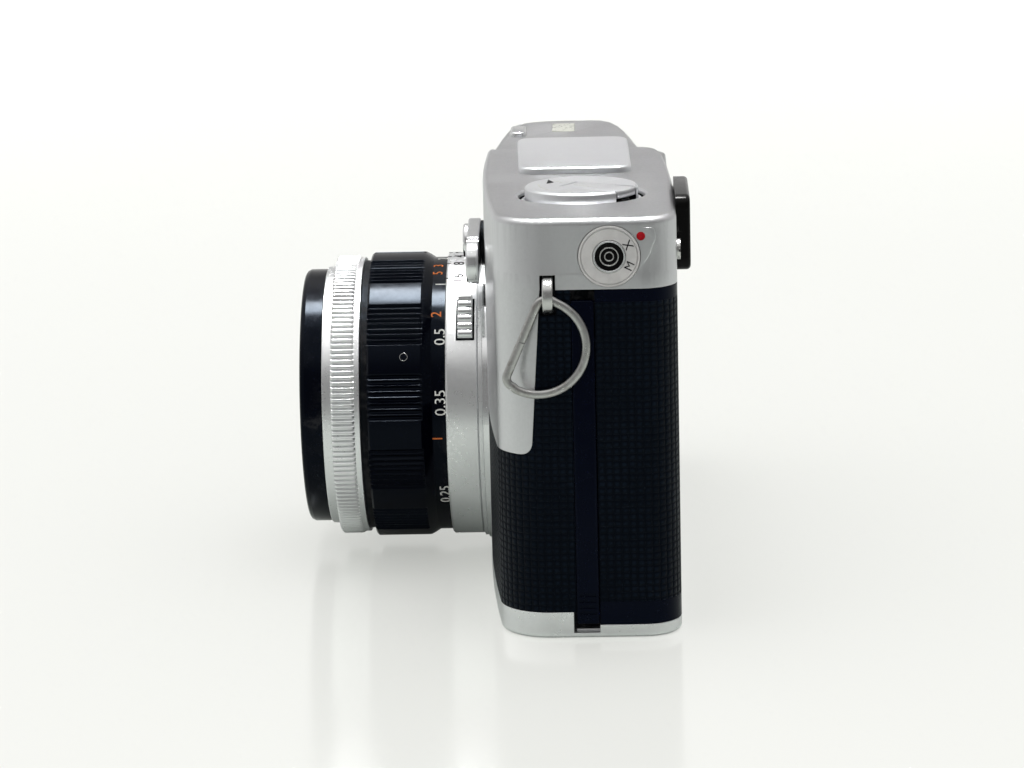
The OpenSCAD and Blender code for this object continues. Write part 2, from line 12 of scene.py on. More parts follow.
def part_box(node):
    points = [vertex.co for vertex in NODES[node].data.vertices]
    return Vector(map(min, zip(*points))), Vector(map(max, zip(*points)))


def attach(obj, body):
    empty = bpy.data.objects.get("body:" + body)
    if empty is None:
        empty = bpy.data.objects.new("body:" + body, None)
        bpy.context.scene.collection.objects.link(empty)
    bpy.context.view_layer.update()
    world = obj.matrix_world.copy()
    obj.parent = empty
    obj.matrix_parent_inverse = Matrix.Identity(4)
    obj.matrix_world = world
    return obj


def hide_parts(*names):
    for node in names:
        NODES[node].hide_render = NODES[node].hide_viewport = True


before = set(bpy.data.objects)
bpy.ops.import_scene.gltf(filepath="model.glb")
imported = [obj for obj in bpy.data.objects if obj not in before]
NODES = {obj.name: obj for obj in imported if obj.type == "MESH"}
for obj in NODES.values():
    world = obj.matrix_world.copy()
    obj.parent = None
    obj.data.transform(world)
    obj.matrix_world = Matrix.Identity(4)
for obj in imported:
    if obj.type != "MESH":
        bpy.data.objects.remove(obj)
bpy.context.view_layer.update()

MM = 0.001


def box(node):
    """Lowest and highest corner of a CAD node, in millimetres."""
    lo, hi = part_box(node)
    return np.array(lo) / MM, np.array(hi) / MM


# ---------------------------------------------------------------- dimensions, from the frame
COVER_LO, COVER_HI = box("top_cover")
HALF_W = COVER_HI[0]
FRONT = -COVER_LO[1]
BACK = COVER_HI[1]
DECK = COVER_HI[2]
BASE_RIM = box("base_plate")[1][2]
DOOR_LO, DOOR_HI = box("back_door")
BAND_TOP = DOOR_HI[2] + 0.1      # lower edge of the cover
LEDGE = box("advance_lever")[0][2] - 0.5
PAD_LO, PAD_HI = box("top_pad")
LOW_DECK = PAD_LO[2]
FOCUS_LO, FOCUS_HI = box("focus_ring")
LENS_Z = (FOCUS_LO[2] + FOCUS_HI[2]) / 2
BOW = 3.0                        # bow of the front over its width
CORNER = 8.5                     # plan radius of the front corners
BACK_R = 6.0                     # plan radius of the back corners
SKIN = 0.85
STEP_X = -12.0                   # where the high deck steps down


# ---------------------------------------------------------------- outlines
def arc(cx, cy, r, a0, a1, n):
    """Points on an arc, angles in degrees, both ends included."""
    a = np.radians(np.linspace(a0, a1, n + 1))
    return [(cx + r * math.cos(t), cy + r * math.sin(t)) for t in a]


BOW_R = ((HALF_W - CORNER) ** 2 + BOW ** 2) / (2 * BOW)
BOW_CY = BOW_R - FRONT
CORNER_X = HALF_W - CORNER
CORNER_Y = BOW_CY - math.sqrt((BOW_R - CORNER) ** 2 - CORNER_X ** 2)
BOW_A = math.degrees(math.atan2(CORNER_Y - BOW_CY, CORNER_X))


def plan(d, fine=2):
    """The body's outline seen from above, inset by d, anticlockwise from the front left."""
    n = 12 * fine
    right = arc(CORNER_X, CORNER_Y, CORNER - d, BOW_A, 0, n)[1:]
    left = arc(-CORNER_X, CORNER_Y, CORNER - d, 180, 180 - BOW_A, n)[:-1]
    return (arc(0, BOW_CY, BOW_R - d, -180 - BOW_A, BOW_A, 24 * fine) + right
            + arc(HALF_W - BACK_R, BACK - BACK_R, BACK_R - d, 0, 90, n)
            + arc(-HALF_W + BACK_R, BACK - BACK_R, BACK_R - d, 90, 180, n) + left)


def spoke(angle):
    """The unit vector at an angle in degrees."""
    return math.cos(math.radians(angle)), math.sin(math.radians(angle))


def fillet(points, radius, steps=5):
    """Rounds the corners of a closed outline; radius is one number or one per corner."""
    pts = [np.array(p, float) for p in points]
    n = len(pts)
    radii = [radius] * n if np.isscalar(radius) else radius
    out = []
    for i, p in enumerate(pts):
        a, b = pts[i - 1] - p, pts[(i + 1) % n] - p
        la, lb = np.linalg.norm(a), np.linalg.norm(b)
        turn = math.pi - math.acos(max(-1, min(1, a @ b / (la * lb))))
        if radii[i] <= 0 or turn < 0.02:
            out.append(tuple(p))
            continue
        t = min(radii[i] * math.tan(turn / 2), 0.48 * la, 0.48 * lb)
        start, end = p + a / la * t, p + b / lb * t
        for s in np.linspace(0, 1, steps + 1):
            out.append(tuple((1 - s) ** 2 * start + 2 * s * (1 - s) * p + s * s * end))
    return out


def inset(points, d):
    """A closed outline moved inwards by d; anticlockwise outlines shrink."""
    p = np.array(points, float)
    before, after = p - np.roll(p, 1, 0), np.roll(p, -1, 0) - p
    unit = lambda v: v / np.maximum(np.linalg.norm(v, axis=1, keepdims=True), 1e-9)
    n0 = np.stack([-unit(before)[:, 1], unit(before)[:, 0]], 1)
    n1 = np.stack([-unit(after)[:, 1], unit(after)[:, 0]], 1)
    m = unit(n0 + n1)
    scale = np.maximum((m * n0).sum(1, keepdims=True), 0.35)
    return [tuple(q) for q in p + m * d / scale]


def rounded_box(lo, hi, r, steps=6, up=1):
    """The outline of a box with rounded corners, seen from above, or with up=2 from the front."""
    (x0, x1), (y0, y1) = (lo[0], hi[0]), (lo[up], hi[up])
    return fillet([(x0, y0), (x1, y0), (x1, y1), (x0, y1)], r, steps)


# ---------------------------------------------------------------- mesh builders
def new_object(name, data):
    obj = bpy.data.objects.new(name, data)
    bpy.context.scene.collection.objects.link(obj)
    return obj


def discard(obj):
    data = obj.data
    bpy.data.objects.remove(obj)
    bpy.data.meshes.remove(data)


def raw_object(name, verts, faces):
    """A mesh from points in millimetres, with double points merged and faces turned outwards."""
    mesh = bpy.data.meshes.new(name)
    mesh.from_pydata([tuple(float(c) * MM for c in v) for v in verts], [], faces)
    bm = bmesh.new()
    bm.from_mesh(mesh)
    bmesh.ops.remove_doubles(bm, verts=bm.verts, dist=1e-7)
    bmesh.ops.dissolve_degenerate(bm, edges=bm.edges, dist=1e-8)
    bmesh.ops.recalc_face_normals(bm, faces=bm.faces)
    bm.to_mesh(mesh)
    bm.free()
    return new_object(name, mesh)


def loft(name, rings, capped=True, closed=False):
    """Skins equal-length closed rings of 3-D points, in order; caps both ends unless closed round."""
    n = len(rings[0])
    verts = [p for ring in rings for p in ring]
    faces = []
    count = len(rings) if closed else len(rings) - 1
    for k in range(count):
        a, b = k * n, ((k + 1) % len(rings)) * n
        for i in range(n):
            j = (i + 1) % n
            faces.append((a + i, a + j, b + j, b + i))
    if capped and not closed:
        faces.append(tuple(range(n))[::-1])
        faces.append(tuple((len(rings) - 1) * n + i for i in range(n)))
    return raw_object(name, verts, faces)


def to_xy(outline, h):
    return [(x, y, h) for x, y in outline]


def to_xz(outline, h):
    """An outline seen from the front, in the plane h forward of the origin."""
    return [(x, -h, z) for x, z in outline]


def to_yz(outline, h):
    return [(h, y, z) for y, z in outline]


def prism(name, outline, lo, hi, place=to_xy, top=0.0, bottom=0.0, steps=4):
    """An outline pushed from lo to hi, with rounded rims of radius top and bottom."""
    rings = []
    for r, at, sign in ((bottom, lo, 1), (top, hi, -1)):
        stage = [place(outline, at)] if r <= 0 else [
            place(inset(outline, r * (1 - math.sin(a))), at + sign * r * (1 - math.cos(a)))
            for a in np.linspace(0, math.pi / 2, steps + 1)]
        rings += stage if sign > 0 else stage[::-1]
    return loft(name, rings)


def revolve(name, profile, place, segments=128, wobble=None, start=0.0, round_r=0.0):
    """A closed profile of (radius, height) turned about an axis; place(a, b, h) gives the point.
    wobble(angle, radius, height) changes a point's radius; start is the first spoke, in degrees."""
    if round_r > 0:
        profile = fillet(profile, round_r, 3)
    rings = []
    for i in range(segments):
        t = math.radians(start) + 2 * math.pi * i / segments
        rings.append([])
        for r, h in profile:
            q = wobble(t, r, h) if wobble else r
            rings[-1].append(place(q * math.cos(t), q * math.sin(t), h))
    return loft(name, rings, closed=True)


def about_y(x, z):
    """Places turned points round an axis along Y; heights count forward."""
    return lambda a, b, h: (x + a, -h, z + b)


def about_z(x, y):
    return lambda a, b, h: (x + a, y + b, h)


def about_x(y, z):
    return lambda a, b, h: (h, y + a, z + b)


def turned(name, profile, segments=192, **options):
    """A turned lens piece."""
    return revolve(name, profile, about_y(0, LENS_Z), segments, **options)


def evaluated(obj):
    """Applies all modifiers."""
    dg = bpy.context.evaluated_depsgraph_get()
    mesh = bpy.data.meshes.new_from_object(obj.evaluated_get(dg))
    obj.modifiers.clear()
    old, name = obj.data, obj.data.name
    obj.data = mesh
    bpy.data.meshes.remove(old)
    mesh.name = name
    return obj


def closed(obj):
    """Whether every edge of the mesh joins two faces."""
    bm = bmesh.new()
    bm.from_mesh(obj.data)
    result = all(edge.is_manifold for edge in bm.edges)
    bm.free()
    return result


def combine(obj, others, operation="DIFFERENCE"):
    """Boolean of obj with each of others, which are removed."""
    for other in others:
        solver = "MANIFOLD" if closed(obj) and closed(other) else "EXACT"
        mod = obj.modifiers.new("cut", "BOOLEAN")
        mod.operation, mod.object, mod.solver = operation, other, solver
        evaluated(obj)
        discard(other)
    return obj


def join(name, parts):
    """One object from several closed meshes that share a material."""
    bm = bmesh.new()
    for part in parts:
        bm.from_mesh(part.data)
        discard(part)
    mesh = bpy.data.meshes.new(name)
    bm.to_mesh(mesh)
    bm.free()
    return new_object(name, mesh)


def cutter(outline, lo, hi, *options, **more):
    """A prism that only cuts, or is joined to, a piece; so are block, rod and post."""
    return prism("c", outline, lo, hi, *options, **more)


def block(a, b):
    """A box between two corners."""
    (x0, y0, z0), (x1, y1, z1) = a, b
    return cutter([(x0, y0), (x1, y0), (x1, y1), (x0, y1)], z0, z1)


def circle(x, y, r, n=96):
    """A full circle of n points."""
    return arc(x, y, r, 0, 360 - 360 / n, n - 1)


def rod(x, z, f0, f1, r, n=96):
    """A round bar along Y."""
    return cutter(circle(x, z, r, n), f0, f1, to_xz)


def post(x, y, z0, z1, r, n=96):
    """A round bar along Z."""
    return cutter(circle(x, y, r, n), z0, z1)


def finish(obj, body, material, slot=None, angle=32):
    """Shades a piece and ties it to its CAD body; it takes the place of the CAD node of the same name."""
    obj.data.shade_smooth()
    obj.data.set_sharp_from_angle(angle=math.radians(angle))
    obj.data.materials.clear()
    obj.data.materials.append(material)
    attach(obj, body)
    slot or SLOT_OF[material]
    node = obj.name.split(".")[0]
    if node in NODES:
        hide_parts(node)
    return obj


# ---------------------------------------------------------------- materials
class Tree:
    """Adds nodes to a node tree."""

    def __init__(self, tree):
        self.nodes, self.links = tree.nodes, tree.links

    def new(self, kind):
        return self.nodes.new("ShaderNode" + kind)

    def feed(self, socket, value):
        if isinstance(value, bpy.types.NodeSocket):
            self.links.new(value, socket)
        elif isinstance(value, (tuple, list)) and len(value) == 3 and len(socket.default_value) == 4:
            socket.default_value = (*value, 1)
        else:
            socket.default_value = value

    def vector(self, operation, a, b=None, scale=None, output=0):
        n = self.new("VectorMath")
        n.operation = operation
        self.feed(n.inputs[0], a)
        if b is not None:
            self.feed(n.inputs[1], b)
        if scale is not None:
            n.inputs["Scale"].default_value = scale
        return n.outputs[output]

    def math(self, operation, a, b=0.0, clamp=False):
        n = self.new("Math")
        n.operation, n.use_clamp = operation, clamp
        self.feed(n.inputs[0], a)
        self.feed(n.inputs[1], b)
        return n.outputs[0]

    def mul(self, a, b, clamp=False):
        return self.math("MULTIPLY", a, b, clamp)

    def add(self, a, b):
        return self.math("ADD", a, b)

    def split(self, value):
        """The X, Y and Z of a vector."""
        n = self.new("SeparateXYZ")
        self.links.new(value, n.inputs[0])
        return n.outputs

    def ray(self, kind):
        """1 where a ray of this kind is being traced."""
        return self.new("LightPath").outputs["Is %s Ray" % kind]

    def ramp(self, value, low, high, to_low=0.0, to_high=1.0):
        n = self.new("MapRange")
        n.interpolation_type = "SMOOTHSTEP"
        self.feed(n.inputs["Value"], value)
        for key, v in (("From Min", low), ("From Max", high), ("To Min", to_low), ("To Max", to_high)):
            n.inputs[key].default_value = v
        return n.outputs["Result"]

    def mix(self, factor, a, b):
        n = self.new("Mix")
        n.data_type = "RGBA"
        self.feed(n.inputs["Factor"], factor)
        # a colour mix's own sockets: 6 and 7 in, 2 out
        self.feed(n.inputs[6], a)
        self.feed(n.inputs[7], b)
        return n.outputs[2]


class Paint(Tree):
    """Builds one material; place is the object's own position, in millimetres."""

    def __init__(self, name):
        self.mat = bpy.data.materials.new(name)
        self.mat.use_nodes = True
        super().__init__(self.mat.node_tree)
        self.bsdf = self.nodes["Principled BSDF"]
        self.place = self.vector("SCALE", self.new("TexCoord").outputs["Object"], scale=1 / MM)

    def set(self, **values):
        for key, value in values.items():
            self.feed(self.bsdf.inputs[key if key == "IOR" else key.replace("_", " ").title()], value)
        return self.mat

    def noise(self, scale, detail=3.0, rough=0.55, stretch=None):
        """Noise whose features are about 1/scale millimetres."""
        n = self.new("TexNoise")
        place = self.vector("MULTIPLY", self.place, stretch) if stretch else self.place
        self.links.new(place, n.inputs["Vector"])
        for key, value in (("Scale", scale), ("Detail", detail), ("Roughness", rough)):
            n.inputs[key].default_value = value
        return n.outputs["Fac"]

    def edges(self, low=0.52, high=0.6):
        """1 on outer edges, from the mesh's pointiness."""
        return self.ramp(self.new("NewGeometry").outputs["Pointiness"], low, high)

    def bump(self, height, distance, strength=1.0, normal=None):
        n = self.new("Bump")
        n.inputs["Strength"].default_value = strength
        n.inputs["Distance"].default_value = distance * MM
        self.links.new(height, n.inputs["Height"])
        if normal is not None:
            self.links.new(normal, n.inputs["Normal"])
        return n.outputs["Normal"]

    def rounded(self, radius):
        """A normal that softens sharp edges over a radius."""
        n = self.new("Bevel")
        n.samples = 4
        n.inputs["Radius"].default_value = radius * MM
        return n.outputs["Normal"]

    def attribute(self, name):
        n = self.new("Attribute")
        n.attribute_name = name
        return n.outputs["Fac"]


def metal(name, colour, rough, grain=0.0, smudge=0.12, brushed=None, tarnish=None, wave=0.05, flat=1.0):
    """Bare or plated metal: patchy polish, fine grain, faint dirt and brighter worn edges.
    flat paints shade on faces that point up by darkening their colour, tarnish is the colour of its spots,
    brushed the stretch of its lines."""
    p = Paint(name)
    patch = p.noise(0.09, 4, 0.6)
    fine = p.noise(1.6, 4, 0.65)
    dark = tuple(c * 0.72 for c in colour)
    dirt = p.ramp(p.mul(patch, fine), 0.2, 0.36)
    base = p.mix(p.mul(p.math("SUBTRACT", 1.0, dirt), smudge * 3, clamp=True), colour, dark)
    if tarnish:
        base = p.mix(p.ramp(p.noise(0.5, 5, 0.7), 0.5, 0.68, 0, 0.8), base, tarnish)
    # painted shade: faces that point up are darkened by the factor flat, whatever light reaches them
    if flat < 1:
        up = p.split(p.new("NewGeometry").outputs["True Normal"])[2]
        base = p.mix(p.ramp(up, 0.7, 1.0), base, tuple(c * flat for c in colour))
    bright = tuple(min(1, c * 1.12) for c in colour)
    base = p.mix(p.mul(p.edges(), 0.4, clamp=True), base, bright)
    spread = p.ramp(patch, 0.3, 0.7, rough - smudge * 0.5, rough + smudge * 0.5)
    roughness = p.add(spread, p.ramp(fine, 0.35, 0.65, -0.025, 0.03))
    normal = p.rounded(0.12)
    if grain > 0:
        normal = p.bump(p.noise(9, 2, 0.7), grain, 0.5, normal)
    if brushed:
        normal = p.bump(p.noise(1.0, 4, 0.75, brushed), 0.004, 0.6, normal)
    normal = p.bump(p.noise(0.03, 2, 0.5), wave, 0.4, normal)
    return p.set(base_color=base, metallic=1.0, roughness=roughness, normal=normal)


def lacquer(name, colour, rough, wear, dust):
    """Black finish over metal: glossy, with dust, hairline marks and rubbed edges."""
    p = Paint(name)
    marks = p.noise(0.35, 5, 0.7)
    rubbed = p.mul(p.edges(0.53, 0.62), p.ramp(marks, 0.45, 0.62), clamp=True)
    specks = p.ramp(p.noise(3.0, 2, 0.5), 0.7, 0.74, 0, dust)
    base = p.mix(p.mul(rubbed, wear), colour, (0.35, 0.34, 0.33))
    base = p.mix(p.mul(specks, 0.05), base, (0.5, 0.5, 0.48))
    roughness = p.ramp(marks, 0.3, 0.7, rough * 0.75, rough * 1.4)
    normal = p.bump(p.noise(2.5, 3, 0.6), 0.0015, 0.5, p.rounded(0.1))
    return p.set(base_color=base, metallic=0.0, roughness=roughness, normal=normal, IOR=1.2,
                 specular_tint=(0.62, 0.78, 1.0))


def leatherette(name):
    """Black cloth-grained covering: a grid of small pillows with wrinkles between them."""
    p = Paint(name)
    along, height = p.attribute("along"), p.split(p.place)[2]
    jitter = p.mul(p.math("SUBTRACT", p.noise(0.5, 2, 0.5), 0.5), 1.1)
    u = p.add(p.mul(along, math.pi / GRAIN_U), jitter)
    v = p.add(p.mul(height, math.pi / GRAIN_V), jitter)
    wave_u = p.math("ABSOLUTE", p.math("SINE", u))
    wave_v = p.math("ABSOLUTE", p.math("SINE", v))
    pillow = p.mul(p.math("POWER", wave_u, 0.45), p.math("POWER", wave_v, 0.5))
    wrinkle = p.noise(2.4, 4, 0.7)
    relief = p.add(pillow, p.mul(wrinkle, 0.45))
    worn = p.ramp(p.add(pillow, p.mul(p.noise(0.12, 3), 0.8)), 1.1, 1.5)
    base = p.mix(worn, LEATHER_DARK, LEATHER_LIGHT)
    rough = p.ramp(relief, 0.3, 1.3, 0.62, 0.4)
    normal = p.bump(relief, 0.22, 0.9)
    return p.set(base_color=base, roughness=rough, normal=normal, IOR=1.2, specular_tint=(0.5, 0.75, 1.0))


def moulded(name, colour, rough, grain=0.01):
    """Plastic: slight mottling, moulding texture and fine scuffs."""
    p = Paint(name)
    tone = p.ramp(p.noise(0.4, 4, 0.6), 0.3, 0.7)
    base = p.mix(tone, tuple(c * 0.85 for c in colour), colour)
    roughness = p.ramp(p.noise(1.2, 4, 0.7), 0.3, 0.7, rough * 0.8, rough * 1.25)
    normal = p.bump(p.noise(4, 3, 0.6), grain, 0.5, p.rounded(0.12))
    shine = 1.22 if max(colour) < 0.1 else 1.45
    return p.set(base_color=base, roughness=roughness, normal=normal, IOR=shine)


def ink(name, colour):
    """Paint filled into an engraving: a little patchy and rubbed."""
    p = Paint(name)
    tone = p.ramp(p.noise(1.5, 4, 0.7), 0.35, 0.65)
    base = p.mix(tone, tuple(c * 0.75 for c in colour), colour)
    return p.set(base_color=base, roughness=0.7, IOR=1.2)


def optical(name, tint, coat):
    """Coated glass: clear, with a coloured sheen in its reflections."""
    p = Paint(name)
    dust = p.ramp(p.noise(0.5, 3, 0.6), 0.6, 0.9, 0.0, 0.012)
    p.set(base_color=tint, roughness=dust, IOR=1.6)
    return p.set(transmission_weight=1.0, specular_tint=coat)


GRAIN_U = 1.25
GRAIN_V = 1.1
LEATHER_DARK = (0.0008, 0.001, 0.003)
LEATHER_LIGHT = (0.003, 0.005, 0.010)

# flat=0.62 paints shade on the top cover's upward faces
SATIN = metal("satin_aluminium", (0.67, 0.675, 0.69), 0.36, grain=0.012, smudge=0.06, wave=0.01, flat=0.62)
DECK_SATIN = metal("deck_aluminium", (0.8, 0.81, 0.83), 0.33, grain=0.006, smudge=0.02,
                   brushed=(0.05, 1.4, 1.4), wave=0.004)
RING_SATIN = metal("ring_aluminium", (0.88, 0.89, 0.9), 0.3, grain=0.006, smudge=0.03)
CHROME = metal("chrome", (0.82, 0.83, 0.84), 0.13, smudge=0.06)
STEEL = metal("tarnished_steel", (0.5, 0.5, 0.49), 0.33, grain=0.01, smudge=0.14, tarnish=(0.28, 0.26, 0.24))
BRIGHT_STEEL = metal("bright_steel", (0.62, 0.62, 0.61), 0.25, smudge=0.1)
GLOSS_BLACK = lacquer("black_lacquer", (0.0006, 0.0008, 0.003), 0.14, wear=0.05, dust=0.2)
DOOR_BLACK = lacquer("door_lacquer", (0.0004, 0.0007, 0.005), 0.22, wear=0.0, dust=0.0)
MATT_BLACK = lacquer("matt_black", (0.004, 0.004, 0.005), 0.5, wear=0.1, dust=0.2)
BLACK_PLASTIC = moulded("black_plastic", (0.002, 0.002, 0.002), 0.16)
CREAM = moulded("cream_plastic", (0.66, 0.67, 0.6), 0.3)
FOAM = moulded("foam", (0.015, 0.015, 0.015), 0.9, grain=0.2)
LEATHER = leatherette("leatherette")
RED = ink("red_enamel", (0.36, 0.006, 0.012))
WHITE_INK = ink("white_ink", (0.85, 0.86, 0.82))
BLACK_INK = ink("black_ink", (0.01, 0.01, 0.012))
ORANGE_INK = ink("orange_ink", (0.8, 0.22, 0.06))
WHITE_ENAMEL = moulded("white_enamel", (0.56, 0.56, 0.55), 0.35)
GLASS = optical("coated_glass", (0.96, 0.97, 0.99), coat=(0.55, 0.35, 0.8))
MIRROR = metal("front_mirror", (0.9, 0.9, 0.92), 0.04, smudge=0.02)

SLOTS = {
    "satin_aluminium": [SATIN, DECK_SATIN, RING_SATIN, WHITE_ENAMEL],
    "chrome": [CHROME, BRIGHT_STEEL],
    "steel": [STEEL],
    "black_lacquer": [GLOSS_BLACK, DOOR_BLACK, BLACK_INK],
    "matt_black": [MATT_BLACK],
    "black_plastic": [BLACK_PLASTIC],
    "light_plastic": [CREAM, WHITE_INK],
    "red_paint": [RED, ORANGE_INK],
    "leatherette": [LEATHER],
    "glass": [GLASS],
}
SLOT_OF = {material: slot for slot, materials in SLOTS.items() for material in materials}


# ---------------------------------------------------------------- places, from the frame
def centre(node):
    lo, hi = box(node)
    return (lo + hi) / 2


KNOB_HI = box("rewind_knob")[1]
KNOB = centre("rewind_knob")
SYNC_LO, SYNC_HI = box("sync_socket")
SYNC = centre("sync_socket")
DIAL = centre("speed_dial")
WINDOW_LO, WINDOW_HI = box("counter_window")
BUTTON_LO, BUTTON_HI = box("shutter_button")
BUTTON_LO[1] += 1.2              # keeps the button's slot behind the cover's rounded front edge
CATCH = centre("lens_catch")
DOT = centre("index_dot")
EYE_LO, EYE_HI = box("eyepiece_frame")
EYE_GLASS_LO, EYE_GLASS_HI = box("eyepiece_lens")
CAP = centre("timer_cap")
MOUNT_LO, MOUNT_HI = box("mount_ring")
MOUNT_R = (MOUNT_HI[0] - MOUNT_LO[0]) / 2
HINGE = centre("hinge_pin")
LIP_TOP = 55.85                  # the door's leatherette lies between its two smooth lips
LIP_BOTTOM = box("door_leather")[0][2]
TONGUE_Z = 30.8                  # lower edge of the apron on the crank end
TONGUE_FOOT = -8.9               # rear edge of the tongue at its foot
TONGUE_Y = -6.9                  # and at its root
APRON_X = 27.5
SLOT_Y = (-7.0, -4.5)            # strap slot
SLOT_Z = (53.9, 60.4)
FRONT_EDGE = -2.15               # rear edge of the fixed leatherette
DOOR_EDGE = 1.75


# ---------------------------------------------------------------- body shells
def clip_plan(d, keep):
    return [p for p in plan(d) if keep(p)]


def high_outline(d=0.0):
    """The high deck: all of the crank end, with a rear edge that comes forward to the step."""
    x = STEP_X + d
    near = clip_plan(d, lambda p: p[0] > x and (p[1] < 14 or p[0] > 50))
    rear = [(28, BACK - d), (22, 14.98 - d), (8, 14.5 - d), (-3, 13.9 - d), (-9.8 + 0.8 * d, 13.1 - d),
            (x, 10.6 - d)]
    return [(x, near[0][1])] + near + fillet(rear, [0, 9, 9, 9, 4.5, 0], 7)


def low_outline(d=0.0):
    """The low deck: its rear edge curves forward and leaves the advance lever's recess open."""
    x = STEP_X + 3
    corner = clip_plan(d, lambda p: p[0] < -CORNER_X and p[1] < 0.6)
    bow = clip_plan(d, lambda p: -CORNER_X <= p[0] < x and p[1] < 0)
    rear = [(x, 10.9 - d), (-29, 9.7 - d), (-39, 8.6 - d), (-48, 7.5 - d), (-55, 6.3 - d), (-60, 5 - d),
            (-HALF_W + d + 0.5, 3 - d), (-HALF_W + d, 0.6 - d)]
    front = sorted(corner, key=lambda p: -p[1]) + sorted(bow, key=lambda p: p[0])
    return fillet(rear, [0, 9, 9, 9, 7, 4, 1.5, 0], 4) + front


def ring_cut(x, z, r, f0, f1, flare=0.3):
    """Round cutter along Y with a small countersink at its front."""
    return loft("c", [to_xz(circle(x, z, q, 120), f) for q, f in
                           ((r, f0), (r, f1 - flare), (r + flare, f1), (r + flare, f1 + 5))])


def skin_shell(name, z0, z1, d=SKIN):
    return combine(prism(name, plan(0), z0, z1), [cutter(plan(d), z0 - 1, z1 + 1)])


def tongue(grow=0.0):
    """Outline of the cover's tongue on the crank end, tapering down to a rounded corner."""
    foot = TONGUE_FOOT + grow
    return fillet([(-30, TONGUE_Z - grow), (foot, TONGUE_Z - grow), (TONGUE_Y + grow, 60), (-30, 60)],
                  [0, 2.3, 0, 0], 8)


def apron():
    shell = skin_shell("apron", BASE_RIM + 0.02, BAND_TOP + 0.4)
    middle = block((-APRON_X, -30, 0), (APRON_X, -5, 60))
    side = cutter(tongue(), APRON_X - 1, 80, to_yz)
    return combine(shell, [combine(middle, [side], "UNION")], "INTERSECT")


def top_cover():
    cover = prism("top_cover", plan(0), BAND_TOP, LEDGE, top=0.5)
    high = cutter(high_outline(0.02), LEDGE - 1.5, DECK, top=1.15, steps=7)
    low = cutter(low_outline(0.05), LEDGE - 1.6, LOW_DECK, top=0.8, steps=5)
    combine(cover, [high, low], "UNION")
    combine(cover, [
        cutter(plan(SKIN), BAND_TOP - 1, LEDGE - 0.8),
        cutter(high_outline(SKIN + 0.03), LEDGE - 1.2, DECK - 0.9),
        cutter(low_outline(SKIN + 0.06), LEDGE - 1.3, LOW_DECK - 0.8)])
    well_r = 10.6
    combine(cover, [post(*KNOB[:2], 64.43, DECK - 0.6, well_r + 0.8)], "UNION")
    facet = fillet([(3, 59.8), (9, 61), (10.4, 63), (11.7, 66.1), (11.4, 67.9), (3, 67.9)], 0.8, 4)
    combine(cover, [cutter(facet, 59.5, HALF_W - 0.02, to_yz, top=0.12), apron()], "UNION")
    well = ((well_r, 65.2), (well_r, DECK - 0.35), (well_r + 0.35, DECK + 0.01), (well_r + 0.4, 80))
    flare = loft("c", [to_xy(circle(*KNOB[:2], r, 120), z) for r, z in well])
    combine(cover, [
        flare, post(*KNOB[:2], 60, 66, 2.55),
        block((-80, 1, LEDGE + 0.02), (STEP_X - 1, 30, 65.1)),
        cutter(rounded_box(WINDOW_LO - 0.05, WINDOW_HI + 0.05, 0.5), 60, 80),
        cutter(rounded_box(BUTTON_LO - 0.08, BUTTON_HI + 0.08, 1.4), LOW_DECK - 3.2, 80),
        cutter(rounded_box(EYE_GLASS_LO, EYE_GLASS_HI, 0.8, up=2), -30, -12, to_xz),
        cutter(circle(*SYNC[1:], 5.05, 120), 50, 80, to_yz),
        cutter(circle(*DOT[1:], 0.7, 36), 60, 80, to_yz),
        slot_block(-1), slot_block(1),
        ring_cut(0, LENS_Z, MOUNT_R + 0.02, 10, 18),
        rod(CAP[0], CAP[2] - 0.3, 10, 30, 1.55),
        rod(24, 63, -30, -12, 1.0), rod(56, 63, -30, -12, 1.0)])
    return finish(cover, "body", SATIN, angle=28)


def top_pad():
    lo, hi = PAD_LO, PAD_HI
    corners = [(lo[0], lo[1]), (hi[0], lo[1] + 1.2), (hi[0], hi[1] - 0.2), (lo[0], hi[1] - 0.8)]
    pad = prism("top_pad", fillet(corners, 3.5, 8), lo[2], hi[2], top=0.55, steps=5)
    combine(pad, [block((STEP_X, -20, LOW_DECK - 1), (30, 20, DECK))])
    return finish(pad, "body", DECK_SATIN)


def base_plate():
    tray = prism("base_plate", plan(0), 0, 1.2, bottom=0.8, steps=4)
    rim_highlight = skin_shell("c", 0.9, 2.2)
    front_rim = combine(skin_shell("c", 0.9, BASE_RIM), [block((-80, -30, 0), (80, -2.5, 10))], "INTERSECT")
    combine(tray, [rim_highlight, front_rim], "UNION")
    cuts = [block((62, -2.6, 0.9), (80, 1.7, 10)), block((-80, -2.6, 0.9), (-62, 0.1, 10)),
            rod(0, LENS_Z, 10, 30, MOUNT_R + 0.02, 160), post(0, 0, -1, 8, 5.55)]
    release = centre("rewind_release")
    cuts.append(post(release[0], release[1], -1, 8, 2.45))
    for x, y in ((-56, -4), (-22, 7), (22, 7), (56, -4)):
        cuts.append(post(x, y, -0.1, 0.6, 1.75, 48))
        cuts.append(post(x, y, -0.1, 3, 0.82, 48))
    combine(tray, cuts)
    return finish(tray, "body", RING_SATIN)


